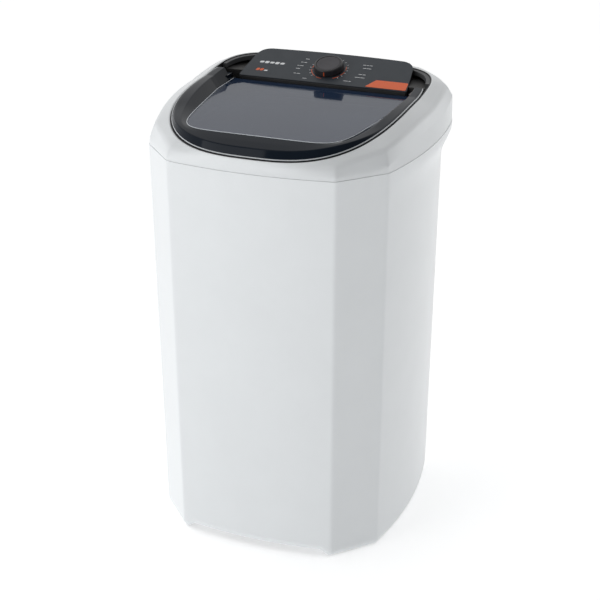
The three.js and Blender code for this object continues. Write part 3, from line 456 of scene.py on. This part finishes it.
black_rubber = rubber("black_rubber", (0.018, 0.018, 0.019), 0.8)

# ------------------------------------------------------------------ plans and heights


def stations(lengths, marks):
    """Where the columns stand on each face: close together beside the corners and at the marks."""
    near = [0, 1.2, 2.6, 4.2, 6.2, 9, 13]
    result = []
    for face, length in enumerate(lengths):
        middle = np.linspace(20, length - 20, max(4, round((length - 40) / 9)))
        places = np.concatenate([near, middle, [length - d for d in near[:0:-1]], marks.get(face, [])])
        places = np.unique(np.round(places, 3))
        result += [(face, place / length) for place in places if place < length]
    return result


def corner_points(flare):
    mix = lambda plain, wide: plain + (wide - plain) * flare
    rear_x, rear_y = mix(cabinet.front_half, rim.rear_half), mix(cabinet.rear_y, rim.rear_y)
    rear_side = mix(cabinet.side_x, rim.rear_side_x)
    right = [
        (cabinet.front_half, cabinet.front_y),
        (cabinet.side_x, -cabinet.side_y),
        (rear_side, cabinet.side_y),
        (rear_x, rear_y),
    ]
    left = [(-x, y) for x, y in reversed(right)]
    return np.array([left[-1]] + right + left[:-1], float)


def face_lengths():
    corners = corner_points(1)
    return np.linalg.norm(np.roll(corners, -1, 0) - corners, axis=1)


arch_marks = [
    cabinet.front_half + side * reach
    for side in (-1, 1)
    for reach in (cabinet.arch_half / 0.9655, (cabinet.arch_half + cabinet.arch_slope) / 0.9655)
]
rear_arch_marks = [rim.rear_half - cabinet.front_half + mark for mark in arch_marks]
COLUMNS = stations(face_lengths(), {0: arch_marks, 4: rear_arch_marks})


def softened_plan(flare, side_bulge=None, soften=5.0):
    """The eight-sided plan at the columns, its faces bowed and its corner edges rounded off."""
    corners = corner_points(flare)
    side = cabinet.side_bulge + (rim.side_bulge - cabinet.side_bulge) * flare
    side = side if side_bulge is None else side_bulge
    rear = cabinet.rear_bulge + (rim.rear_bulge - cabinet.rear_bulge) * flare
    bulges = [cabinet.front_bulge, 0, side, 0, rear, 0, side, 0]
    steps = 40
    dense, marks = [], []
    for face in range(8):
        start, end = corners[face], corners[(face + 1) % 8]
        along = end - start
        outward = np.array([along[1], -along[0]]) / np.linalg.norm(along)
        t = np.arange(steps) / steps
        dense.append(start + np.outer(t, along) + np.outer(4 * bulges[face] * t * (1 - t), outward))
        marks.append(face + t)
    line = np.concatenate(dense + [dense[0][:1]])
    marks = np.append(np.concatenate(marks), 8.0)
    reach = np.concatenate([[0], np.cumsum(np.linalg.norm(np.diff(line, axis=0), axis=1))])
    around = reach[-1]
    places = np.interp([face + t for face, t in COLUMNS], marks, reach)
    offsets = np.linspace(-soften, soften, 9)
    result = np.zeros((len(places), 2))
    for offset in offsets:
        s = (places + offset) % around
        result += np.stack([np.interp(s, reach, line[:, 0]), np.interp(s, reach, line[:, 1])], 1)
    return result / len(offsets)


plain_plan = softened_plan(0)
rim_plan = softened_plan(1)
rim_angles = np.arctan2(rim_plan[:, 1] - CENTRE_Y, rim_plan[:, 0])


def rounded_plan(edge, angles):
    """An outline round (0, CENTRE_Y) whose front and rear halves are superellipses."""
    cosine, sine = np.cos(angles), np.sin(angles)
    length = np.where(sine < 0, edge.front, edge.rear)
    power = np.where(sine < 0, edge.front_power, edge.rear_power)
    near, far = np.zeros(len(angles)), np.full(len(angles), 1000.0)
    for _ in range(45):
        middle = (near + far) / 2
        width = edge.half + np.minimum(0, edge.taper * middle * sine)
        outside = np.abs(middle * cosine / width) ** power + np.abs(middle * sine / length) ** power > 1
        far = np.where(outside, middle, far)
        near = np.where(outside, near, middle)
    return np.stack([near * cosine, CENTRE_Y + near * sine], 1)


def ring(plan, inset, height, scale=1.0):
    """A plan drawn in towards the axis, at a height that may depend on the point."""
    reach = np.linalg.norm(plan, axis=1)
    points = plan * (scale * (reach - inset) / reach)[:, None]
    z = height(points[:, 0], points[:, 1]) if callable(height) else np.broadcast_to(height, len(plan))
    return np.column_stack([points, z])


def rounded_ring(plan, inset, height):
    """A rounded plan drawn in towards its own centre."""
    centre = np.array([0, CENTRE_Y])
    reach = np.linalg.norm(plan - centre, axis=1)
    points = centre + (plan - centre) * ((reach - inset) / reach)[:, None]
    z = height(points[:, 0], points[:, 1]) if callable(height) else np.full(len(plan), float(height))
    return np.column_stack([points, z])


def draft_scale(z):
    return 1 - cabinet.draft * (cabinet.rim_z - z)


def opening_height(x, y):
    behind = np.asarray(y, float) - 58
    return np.where(behind > 0, 977 + 0.09 * behind, 977 - 52 * (np.maximum(-behind, 0) / 358) ** 2.1)


def crease_height(x, y):
    return 906 + 26 * smoothstep(y, -240, -60) + 24 * smoothstep(y, 90, 240)


def shoulder_height(x, y):
    return opening_height(x, y) - 9 - 5 * smoothstep(y, -280, -100)


opening_plan = rounded_plan(opening, rim_angles)
even_angles = np.arange(420) * 2 * math.pi / 420 - math.pi
lid_plan = rounded_plan(lid_edge, even_angles)
collar_plan = rounded_plan(opening, even_angles)
window_plan = rounded_plan(window_edge, even_angles)

# ------------------------------------------------------------------ cabinet and cover


def rear_hole(spot, clearance=GAP):
    x, z, radius = spot
    reach = radius + clearance
    hole = revolved([(0, 230), (reach, 230), (reach, 340), (0, 340)], segments=48)
    return shifted(along_y(hole), x, 0, z)


drain_spot = (150, 86, 17)
cord_spot = (-150, 86, 9)
inlet_spot = (-140, 929, 13)


def cabinet_shell():
    reach = np.abs(plain_plan[:, 0]) * draft_scale(cabinet.arch_z)
    slope = [cabinet.arch_half, cabinet.arch_half + cabinet.arch_slope]
    foot = np.interp(reach, slope, [cabinet.arch_z, cabinet.foot_z])
    levels = [
        (foot, cabinet.toe_inset, 0.0, 1.6),
        (foot + cabinet.toe_height, 0, 0.0, 9),
        (cabinet.flare_start_z, 0, 0.0, 22),
        (cabinet.flare_knee_z, 0, 0.42, 12),
        (cabinet.flare_full_z, 0, 0.95, 12),
        (cabinet.rim_z, 0, 1.0, 0.5),
    ]
    plan_at = lambda flare: plain_plan + (rim_plan - plain_plan) * flare
    scale_at = lambda z: draft_scale(z) if np.isscalar(z) else draft_scale(20)
    outer = [ring(plan_at(flare), inset, z, scale_at(z)) for z, inset, flare, _ in levels]
    inner = [
        ring(plan_at(flare), inset + cabinet.wall, z, scale_at(z)) for z, inset, flare, _ in reversed(levels)
    ]
    radii = [r for *_, r in levels] + [r for *_, r in reversed(levels)]
    return loft(softened(outer + inner, radii), True)


piece(
    "cabinet_shell", cabinet_shell(), white_shell, replaces=("cabinet",),
    cutters=(rear_hole(drain_spot), rear_hole(cord_spot)),
)


def cover_shell():
    wall, skirt, crease = cover.wall, cover.skirt_inset, cover.crease_inset
    crease_plan = softened_plan(1, cover.crease_bulge)
    shoulder_plan = rim_plan + (opening_plan - rim_plan) * cover.shoulder_share
    seam_z = cabinet.rim_z + cover.seam
    crease_round = 2.5 + 22 * (1 - smoothstep(rim_plan[:, 1], -262, -190))
    outer = [
        ring(rim_plan, skirt, seam_z),
        ring(crease_plan, crease, crease_height),
        ring(shoulder_plan, skirt, shoulder_height),
        rounded_ring(opening_plan, 0, opening_height),
    ]
    lip = [
        rounded_ring(opening_plan, cover.lip_width, lambda x, y: opening_height(x, y) - 1.5),
        rounded_ring(opening_plan, cover.lip_width, lambda x, y: opening_height(x, y) - cover.lip_drop),
    ]
    inner = [
        ring(shoulder_plan, skirt + wall, lambda x, y: shoulder_height(x, y) - wall),
        ring(crease_plan, crease + wall, crease_height),
        ring(rim_plan, skirt + wall, seam_z),
    ]
    radii = [0.4, crease_round, 9, 2.2, 1.0, 0.6, 3, 2, 0.8]
    return loft(softened(outer + lip + inner, radii), True)


piece(
    "cover_shell", cover_shell(), white_shell, replaces=("top_cover",),
    cutters=(rear_hole(inlet_spot),),
)


def collar():
    outside = cover.lip_width + GAP
    inside = outside + bezel.wall
    top = lambda x, y: opening_height(x, y) - 0.5
    shelf = lambda x, y: opening_height(x, y) - bezel.shelf_drop
    under = lambda x, y: shelf(x, y) - bezel.shelf_thick
    rings = [
        rounded_ring(collar_plan, outside, bezel.foot_z),
        rounded_ring(collar_plan, outside, top),
        rounded_ring(collar_plan, inside, top),
        rounded_ring(collar_plan, inside, shelf),
        rounded_ring(collar_plan, outside + bezel.shelf_width, shelf),
        rounded_ring(collar_plan, outside + bezel.shelf_width, under),
        rounded_ring(collar_plan, inside, under),
        rounded_ring(collar_plan, inside, bezel.foot_z),
    ]
    return loft(softened(rings, [0.4, 0.7, 0.7, 1.2, 0.8, 0.8, 0.8, 0.4]), True)


piece("opening_collar", collar(), grained_black, replaces=("lid_bezel",))

# ------------------------------------------------------------------ lid


def lid_edge_top(x, y):
    return opening_height(x, y) + 2


def lid_rim():
    shelf_plan = lid_plan + (window_plan - lid_plan) * lid.shelf_share
    edge_foot = lambda x, y: opening_height(x, y) - bezel.shelf_drop + 0.6
    edge_under = lambda x, y: lid_edge_top(x, y) - lid.wall - 1
    shelf_top = lambda x, y: lid_edge_top(x, y) + 1 + lid.front_rise * (1 - smoothstep(y, -290, -120))
    shelf_under = lambda x, y: shelf_top(x, y) - lid.wall
    ledge_z = lid.plateau_z - lid.wall - GAP
    rings = [
        rounded_ring(lid_plan, 0, edge_foot),
        rounded_ring(lid_plan, 0, lid_edge_top),
        rounded_ring(lid_plan, lid.wall_lean, shelf_top),
        rounded_ring(shelf_plan, 0, shelf_top),
        rounded_ring(window_plan, 0, lid.plateau_z),
        rounded_ring(window_plan, GAP, ledge_z),
        rounded_ring(window_plan, lid.ledge, ledge_z),
        rounded_ring(window_plan, lid.ledge, ledge_z - 2),
        rounded_ring(window_plan, -1, ledge_z - 2),
        rounded_ring(shelf_plan, 0, shelf_under),
        rounded_ring(lid_plan, lid.wall_lean + lid.wall, shelf_under),
        rounded_ring(lid_plan, lid.wall, edge_under),
        rounded_ring(lid_plan, lid.wall, edge_foot),
    ]
    return loft(softened(rings, [0.9, 1.4, 2.2, 2.0, 1.5, 0.1, 0.4, 0.4, 0.8, 2, 1.6, 1.2, 0.8]), True)


def lid_highlight_bead():
    """Rounded strip round the foot of the lid, where it meets the cover, coloured grey as a painted highlight
    along the lid's lower edge.
    """
    turns = np.arange(12) * math.pi / 6
    centre = lid.bead * 0.7
    rings = [
        rounded_ring(
            lid_plan, -centre - lid.bead * math.cos(a) + lid.bead,
            lambda x, y, rise=math.sin(a): lid_edge_top(x, y) - 0.8 + lid.bead * rise,
        )
        for a in turns
    ]
    return loft(rings, True)


behind_lid = brick(-320, 320, lid.rear_y, 420, 900, 1100)
beside_hinges = [
    brick(x0, x1, lid.band_rear_y, 420, 900, 1100)
    for x0, x1 in ((-320, -hinge.notch_x), (hinge.notch_x, 320))
]
piece(
    "lid_rim", lid_rim(), lid_black, "lid", replaces=("lid_frame",),
    cutters=(behind_lid, *beside_hinges),
)
piece("lid_highlight_bead", lid_highlight_bead(), painted_highlight_grey, "lid", cutters=(behind_lid, *beside_hinges))


def lid_pane():
    inset = 2 * GAP
    low, high = lid.plateau_z - lid.wall, lid.plateau_z
    rings = [
        rounded_ring(window_plan, inset + 0.5, low),
        rounded_ring(window_plan, inset, low + 0.5),
        rounded_ring(window_plan, inset, high - 1.6),
        rounded_ring(window_plan, inset + 0.15, high - 0.95),
        rounded_ring(window_plan, inset + 0.6, high - 0.4),
        rounded_ring(window_plan, inset + 1.3, high - 0.1),
        rounded_ring(window_plan, inset + 2.2, high),
    ]
    return loft(rings, False)


piece(
    "lid_pane", lid_pane(), pane_glass, "lid", replaces=("lid_window",),
    cutters=(behind_lid,), angle=35,
)


def pane_highlight_bead():
    """Rounded strip round the front and the sides of the pane, coloured pale as a painted highlight along the
    pane's edge.
    """
    turns = np.arange(10) * math.pi / 5
    rings = [
        rounded_ring(window_plan, -0.4 - 1.1 * math.cos(a), lid.plateau_z - 0.2 + 0.9 * math.sin(a))
        for a in turns
    ]
    return loft(rings, True)


piece("pane_highlight_bead", pane_highlight_bead(), painted_highlight_pale, "lid", cutters=(behind_lid,))


def across(solid, x, y, z):
    """A piece turned round Z laid along X and put in place."""
    return shifted(moved(solid, Matrix.Rotation(math.pi / 2, 4, "Y")), x, y, z)


def hinge_lug(side):
    """Arm and rounded eye in one outline, drawn in Y and Z and extruded along X."""
    angles = np.linspace(-math.pi / 2, math.pi / 2, 17)
    eye = [(hinge.y + hinge.eye * math.cos(a), hinge.z + hinge.eye * math.sin(a)) for a in angles]
    arm = [(lid.band_rear_y - 10, hinge.z + hinge.eye), (lid.band_rear_y - 10, hinge.z - hinge.eye)]
    outline = np.array(eye + arm)
    body = prism(outline, -hinge.lug_width / 2, hinge.lug_width / 2, 0.8)
    upright = Matrix(((0, 0, 1, side * hinge.lug_x), (1, 0, 0, 0), (0, 1, 0, 0), (0, 0, 0, 1)))
    return moved(body, upright)


def hinge_bore(x):
    reach = hinge.pin + 0.3
    return across(revolved([(0, -20), (reach, -20), (reach, 20), (0, 20)], segments=32), x, hinge.y, hinge.z)


for side, sx in (("left", -1), ("right", 1)):
    piece(
        f"hinge_lug_{side}", hinge_lug(sx), lid_black, "lid",
        cutters=(hinge_bore(sx * hinge.lug_x),),
    )

# ------------------------------------------------------------------ splash ring of the tub


def splash_ring():
    """Ring moulded inside the top of the tub, widest along the rear."""
    outside = Sizes(
        half=tub.top_half, front=tub.top_front, rear=tub.top_rear, front_power=tub.power, rear_power=tub.power,
        taper=0,
    )
    outer_plan = rounded_plan(outside, even_angles)
    mouth = Sizes(half=226, front=279, rear=tub.mouth_rear, front_power=tub.power, rear_power=9, taper=0)
    mouth_plan = rounded_plan(mouth, even_angles)
    rings = [
        rounded_ring(outer_plan, tub.wall + 2.2, 856),
        rounded_ring(outer_plan, tub.wall + 1.2, 881),
        rounded_ring(mouth_plan, 0, 878),
        rounded_ring(mouth_plan, 1, 868),
        rounded_ring(mouth_plan, -3, 868),
        rounded_ring(outer_plan, tub.wall + 5.2, 872),
        rounded_ring(outer_plan, tub.wall + 5.2, 856),
    ]
    return loft(softened(rings, [0.6, 2, 3.5, 1.2, 0.8, 3, 0.6]), True)


piece(
    "splash_ring", splash_ring(), tub_plastic,
    cutters=(brick(-300, -170, -62, 42, 800, 920),),
)

# ------------------------------------------------------------------ console and panel

PANEL_MATRIX = Matrix.Translation((0, panel.bottom_y, panel.bottom_z)) @ Matrix.Rotation(panel.tilt, 4, "X")


def on_panel(solid):
    """Puts a piece drawn flat, with Y up the slope, onto the sloping panel."""
    return moved(solid, PANEL_MATRIX)


def bezier(a, b, c, steps):
    t = np.linspace(0, 1, steps + 1)[:, None]
    return (1 - t) ** 2 * np.array(a) + 2 * t * (1 - t) * np.array(b) + t**2 * np.array(c)


def panel_outline(inset=0.0):
    foot = panel.half - inset
    shoulder = (panel.shoulder_half - inset, panel.shoulder_up - inset)
    corner = (panel.corner_half - inset, panel.corner_up - inset)
    turn = (shoulder[0] - 3, corner[1] - 3)
    crown = (0, 2 * (panel.crown_up - inset) - corner[1])
    right = bezier(shoulder, turn, corner, 16)
    top = bezier(corner, crown, (-corner[0], corner[1]), 40)[1:-1]
    left = (right * [-1, 1])[::-1]
    lower = [(-foot, inset + 3), (-foot + 3, inset), (foot - 3, inset), (foot, inset + 3)]
    return np.concatenate([lower, right, top, left])


def inside_collar(outline, inset):
    """An outline whose points are drawn in towards the opening's centre until they clear the collar."""
    centre = np.array([0, CENTRE_Y])
    offset = outline - centre
    reach = np.linalg.norm(offset, axis=1)
    edge = rounded_plan(opening, np.arctan2(offset[:, 1], offset[:, 0]))
    limit = np.linalg.norm(edge - centre, axis=1) - inset
    return centre + offset * np.minimum(1, limit / reach)[:, None]


def shaft_hole():
    reach = knob.shaft + GAP
    hole = revolved([(0, -60), (reach, -60), (reach, 60), (0, 60)], segments=32)
    return on_panel(shifted(hole, 0, knob.up, 0))


def slope_height(y, drop):
    """Height of the plane that lies drop below the panel's face."""
    return panel.bottom_z + (y - panel.bottom_y) * math.tan(panel.tilt) - drop / math.cos(panel.tilt)


def wedge_outline(inset):
    """The panel's outline seen from above, kept inside the collar's shelf."""
    outline = panel_outline(inset) * [1, math.cos(panel.tilt)] + [0, panel.bottom_y]
    return inside_collar(outline, cover.lip_width + bezel.shelf_width + 2 * GAP + inset - 0.5)


def console_wedge():
    """The hollow wedge that carries the panel: wall and roof, open underneath."""
    def upright(inset, drop=None, z=None):
        outline = wedge_outline(inset)
        height = np.full(len(outline), float(z)) if z else slope_height(outline[:, 1], drop)
        return np.column_stack([outline, height])

    roof = panel.thick + GAP
    rings = [
        upright(0.5 + console.wall, drop=roof + console.wall),
        upright(0.5 + console.wall, z=console.floor_z),
        upright(0.5, z=console.floor_z),
        upright(0.5, drop=roof + 1.5),
        upright(1.5, drop=roof),
    ]
    return loft(rings, False)


def console_floor():
    inset = cover.lip_width + GAP + bezel.wall + GAP
    low, high = console.floor_z, console.floor_z + console.floor_thick
    rings = [
        rounded_ring(collar_plan, inset + 0.6, low),
        rounded_ring(collar_plan, inset, low + 0.6),
        rounded_ring(collar_plan, inset, high - 0.6),
        rounded_ring(collar_plan, inset + 0.6, high),
    ]
    return loft(rings, False)


def wedge_room():
    """What the wedge leaves out of the floor, so that the two shells don't share volume."""
    return prism(wedge_outline(0.45), console.floor_z - 10, console.floor_z + 20)


piece(
    "console_wedge", console_wedge(), grained_black,
    replaces=("console_housing",), cutters=(shaft_hole(),), angle=35,
)
piece(
    "console_floor", console_floor(), grained_black,
    cutters=(brick(-320, 320, -420, console.front_y, 900, 1000), wedge_room()),
)
piece(
    "panel_plate", on_panel(prism(panel_outline(), -panel.thick, 0, 0.9)), panel_film,
    replaces=("control_panel",), cutters=(shaft_hole(),), angle=35,
)

def dense(corners, spacing=4.0):
    """An outline with points added along its edges."""
    points = np.array(corners, float)
    result = []
    for here, there in zip(points, np.roll(points, -1, 0)):
        count = max(1, round(np.linalg.norm(there - here) / spacing))
        result += [here + (there - here) * i / count for i in range(count)]
    return np.array(result)


RECESS_Y = 152.5  # behind the swing of the lid's side bands


def recess_shoulder(side):
    """Raised filler between the console and the collar, behind the hinge."""
    inset = cover.lip_width + bezel.shelf_width + 2 * GAP
    corners = [(201.5, RECESS_Y), (290, RECESS_Y), (290, 290), (150, 290), (150, 200)]
    outline = inside_collar(dense(corners), inset) * [side, 1]
    outline = outline if side > 0 else outline[::-1]
    return prism(outline, console.floor_z + console.floor_thick + GAP, 972, 1.2)


def recess_floor(side):
    """Low filler that hides the hinge bracket's foot, beside the swing of the pane's rear corner."""
    inset = cover.lip_width + bezel.shelf_width + 2 * GAP
    near, front, back = window_edge.half + 2, console.front_y + 0.5, RECESS_Y - 1
    corners = [(near, front), (290, front), (290, back), (near, back)]
    outline = inside_collar(dense(corners), inset) * [side, 1]
    outline = outline if side > 0 else outline[::-1]
    return prism(outline, console.floor_z + console.floor_thick + GAP, 954, 0.8)


def rear_flange():
    """Flat flange along the rear corners of the opening, just below the cover's edge."""
    inset = cover.lip_width + bezel.wall + 2 * GAP
    top = lambda x, y: opening_height(x, y) - 2
    low = lambda x, y: opening_height(x, y) - bezel.shelf_drop + GAP
    rings = [
        rounded_ring(collar_plan, inset, low),
        rounded_ring(collar_plan, inset, top),
        rounded_ring(collar_plan, inset + 9.5, top),
        rounded_ring(collar_plan, inset + 9.5, low),
    ]
    return loft(softened(rings, [0.3, 0.5, 1.0, 0.4]), True)


for side, sx in (("left", -1), ("right", 1)):
    console_room = prism(wedge_outline(0.1), 900, 1050)
    near, far = hinge.bracket_x - hinge.bracket_room, hinge.bracket_x + hinge.bracket_room
    bracket_room = brick(*sorted((sx * near, sx * far)), 100, 160, 930, 960)
    piece(
        f"recess_shoulder_{side}", recess_shoulder(sx), recess_black,
        cutters=(console_room,), angle=35,
    )
    piece(
        f"recess_floor_{side}", recess_floor(sx), recess_black,
        cutters=(bracket_room,), angle=35,
    )
around_panel = panel_outline(-1.5) * [1, math.cos(panel.tilt)] + [0, panel.bottom_y]
piece(
    "rear_flange", rear_flange(), flange_grey, angle=35,
    cutters=(brick(-320, 320, -420, RECESS_Y, 900, 1100), prism(around_panel, 900, 1100)),
)

PRINT = 0.12  # thickness of the ink and of the film badge above the panel's face


def print_mark(name, solids, material):
    return piece(name, on_panel(joined(*solids)), material)


def bar(x, y, width, height, turn=0.0, high=PRINT, slant=0.0):
    """A printed dash, centred on (x, y), with softly rounded corners."""
    half, rise = width / 2, height / 2
    lean = slant * rise
    corners = [(-half - lean, -rise), (half - lean, -rise), (half + lean, rise), (-half + lean, rise)]
    outline = rounded_corners(corners, min(half, rise) * 0.7)
    outline = outline @ np.array([[math.cos(turn), math.sin(turn)], [-math.sin(turn), math.cos(turn)]])
    return prism(outline + [x, y], 0.02, high)


def arc_band(radius, width, start, end, high=PRINT):
    """A printed arc round the knob, from one angle to another in degrees."""
    angles = np.radians(np.linspace(start, end, max(4, int(abs(end - start) / 4))))
    outer = np.stack([np.cos(angles), np.sin(angles)], 1) * (radius + width / 2)
    inner = (np.stack([np.cos(angles), np.sin(angles)], 1) * (radius - width / 2))[::-1]
    return prism(np.concatenate([outer, inner]) + [0, knob.up], 0.02, high)


def around_knob(radius, degrees):
    angle = math.radians(degrees)
    return radius * math.cos(angle), knob.up + radius * math.sin(angle)


def dial_marks():
    """Ticks round the dial and orange programme arcs."""
    ticks = [bar(*around_knob(43.5, a), 4.2, 1.0, math.radians(a)) for a in range(-45, 226, 15)]
    arcs = [arc_band(39.5, 1.3, a, a + 22) for a in (-150, -120, -60, -30, 0, 160, 190)]
    return ticks, arcs


dial_ticks, dial_arcs = dial_marks()
print_mark("dial_ticks", dial_ticks, white_ink)
print_mark("dial_arcs", dial_arcs, orange_ink)

label_rows = [
    (-62, 86, (9,)), (-66, 72, (6, 7)), (-70, 58, (5, 8)), (-72, 46, (10,)), (-68, 27, (6, 8)),
    (-44, 11, (10,)),
    (84, 84, (7, 5, 8)), (86, 72, (8, 10)), (82, 47, (8, 7)), (80, 35, (12, 9)), (56, 17, (11, 5)),
]


def label_dashes():
    """Short dashes of different lengths where a machine like this has its programme names."""
    result = []
    for x, y, lengths in label_rows:
        left = x - (sum(lengths) + 1.6 * (len(lengths) - 1)) / 2
        for length in lengths:
            result.append(bar(left + length / 2, y, length, 1.5))
            left += length + 1.6
    return result


print_mark("label_dashes", label_dashes(), white_ink)
maker_bars = [bar(-164 + 12.5 * i, 58, 9.8, 9 if i % 2 else 7, slant=0.25) for i in range(5)]
print_mark("maker_bars", maker_bars, white_ink)
load_bars = [bar(-163 + 9.5 * i, 28, 7.5, 9, slant=0.3) for i in range(2)]
print_mark("load_bars", load_bars, orange_ink)
print_mark("load_dash", [bar(-143, 25.5, 8, 4.4, slant=0.3)], white_ink)

flash_outline = rounded_corners([(102, 3.2), (197, 3.2), (195.5, 31.5), (121, 31.5)], 4)
piece(
    "panel_badge", on_panel(prism(flash_outline, 0.03, 0.75, 0.3)), orange_ink,
    replaces=("panel_flash",),
)

# ------------------------------------------------------------------ knob


def knob_grip():
    """The knob's skirt and rim, up to the edge of its face."""
    profile = [
        (knob.shaft + 0.3, 1.5), (knob.base - 1, 1.5), (knob.base, 3.2), (knob.top + 1, knob.height - 1.8),
        (knob.top - 1.2, knob.height), (knob.top - 3.4, knob.height), (knob.top - 4.2, knob.height - 1),
        (knob.top - 4.2, knob.socket + 1), (knob.shaft + 0.3, knob.socket), (knob.shaft + 0.3, 1.5),
    ]
    return revolved(profile, [0.3, 0.8, 2.5, 1.2, 0.8, 0.5, 0.2, 0.5, 0.3, 0.3], 128)


def knob_disc():
    low, top, edge = knob.socket + 1.2, knob.height - 0.7, knob.top - 4.5
    profile = [(0, low), (edge, low), (edge, top), (edge - 2.5, top + 0.25), (0, top - 0.4)]
    return revolved(profile, [0, 0.4, 0.6, 2, 0], 96)


def knob_pointer():
    rise, run = knob.height - 4.5, knob.base - knob.top - 1
    lean = Matrix.Rotation(-math.atan2(run, rise), 4, "X")
    line = moved(brick(-0.9, 0.9, -0.7, 0.2, 0, knob.height - 7, 0.25), lean)
    return shifted(line, 0, knob.up - knob.base - 0.1, 3.6)


piece(
    "knob_grip", on_panel(shifted(knob_grip(), 0, knob.up, 0)), knob_black, "timer_dial",
    replaces=("timer_knob",),
)
piece("knob_disc", on_panel(shifted(knob_disc(), 0, knob.up, 0)), knob_face, "timer_dial")
piece(
    "knob_pointer", on_panel(knob_pointer()), orange_ink, "timer_dial",
    replaces=("knob_index",),
)

# ------------------------------------------------------------------ finishes of the CAD pieces that stay

finishes = {
    "tub_plastic": tub_plastic, "black_plastic": grained_black, "grey_plastic": grey_plastic,
    "steel": steel_bar, "cast_alloy": alloy, "bronze": bronze, "black_rubber": black_rubber,
    "white_shell": white_shell, "lid_dark": lid_black, "lid_smoked": pane_glass,
    "panel_charcoal": panel_film, "knob_plastic": knob_black, "orange_film": orange_ink,
}
sheet_metal = ("support_plate", "motor_bracket", "capacitor_clamp")
for entry in frame["record"]["subparts"]:
    node = frame["nodes"][entry["node"]]
    node.data.materials.clear()
    finish = finishes[entry["material_slot"]]
    if entry["node"] in sheet_metal:
        finish = steel_sheet
    if entry["node"].startswith("hinge_pin"):
        finish = steel_black
    node.data.materials.append(finish)

# ------------------------------------------------------------------ floor, light and camera


def studio_floor():
    mesh = bpy.data.meshes.new("floor")
    reach = 30
    corners = [(-reach, -reach, 0), (reach, -reach, 0), (reach, reach, 0), (-reach, reach, 0)]
    mesh.from_pydata(corners, [], [(0, 1, 2, 3)])
    floor = bpy.data.objects.new("floor", mesh)
    bpy.context.scene.collection.objects.link(floor)
    nodes = Nodes("studio_floor")
    paper = nodes.noise(3.0, 4.0)
    tint = nodes.ramp(paper, (0.3, (0.86, 0.87, 0.875)), (0.7, (0.875, 0.88, 0.885)))
    mesh.materials.append(nodes.set(color=tint, rough=0.9))
    nodes.shader.inputs["Emission Color"].default_value = (1, 1, 1, 1)
    nodes.shader.inputs["Emission Strength"].default_value = 0.5


def studio_world():
    """Bright behind and to the left, falling off towards the front right, where the camera stands."""
    world = bpy.data.worlds.new("studio")
    bpy.context.scene.world = world
    world.use_nodes = True
    nodes, links = world.node_tree.nodes, world.node_tree.links
    background = nodes["Background"]
    background.inputs["Color"].default_value = (1, 1, 1, 1)
    direction = nodes.new("ShaderNodeTexCoord").outputs["Generated"]
    dot = nodes.new("ShaderNodeVectorMath")
    dot.operation = "DOT_PRODUCT"
    dot.inputs[1].default_value = Vector((0.72, -0.69, 0.0))
    fall = nodes.new("ShaderNodeMapRange")
    fall.interpolation_type = "SMOOTHSTEP"
    for key, value in (("From Min", -0.25), ("From Max", 0.4), ("To Min", 0.88), ("To Max", 0.2)):
        fall.inputs[key].default_value = value
    links.new(direction, dot.inputs[0])
    links.new(dot.outputs["Value"], fall.inputs["Value"])
    seen = nodes.new("ShaderNodeMath")  # the backdrop itself is plain white from every side
    seen.operation = "MAXIMUM"
    links.new(fall.outputs["Result"], seen.inputs[0])
    links.new(nodes.new("ShaderNodeLightPath").outputs["Is Camera Ray"], seen.inputs[1])
    links.new(seen.outputs["Value"], background.inputs["Strength"])


def softbox(name, place, aim, size, power):
    light = bpy.data.lights.new(name, "AREA")
    light.shape = "RECTANGLE"
    light.size, light.size_y = size
    light.energy = power
    lamp = bpy.data.objects.new(name, light)
    bpy.context.scene.collection.objects.link(lamp)
    lamp.location = place
    lamp.rotation_euler = (Vector(aim) - Vector(place)).to_track_quat("-Z", "Y").to_euler()
    return lamp


studio_floor()
studio_world()
softbox("left softbox", (-2.2, -3.4, 1.5), (0, 0, 0.55), (2.4, 2.4), 33)
softbox("right softbox", (2.9, 2.7, 1.5), (0, 0, 0.55), (1.8, 2.2), 6)
softbox("top strip", (0.2, -1.5, 3.3), (0, 0, 0.9), (2.6, 0.35), 4)

camera_data = bpy.data.cameras.new("camera")
camera_data.sensor_width = 36
camera_data.lens = 90.99
camera = bpy.data.objects.new("camera", camera_data)
camera.location = (1.1304, -2.9778, 1.9210)
camera.rotation_euler = (math.radians(90 - 24.29), 0, math.radians(20.85))
bpy.context.scene.collection.objects.link(camera)
bpy.context.scene.camera = camera
bpy.context.scene.view_settings.view_transform = "Standard"
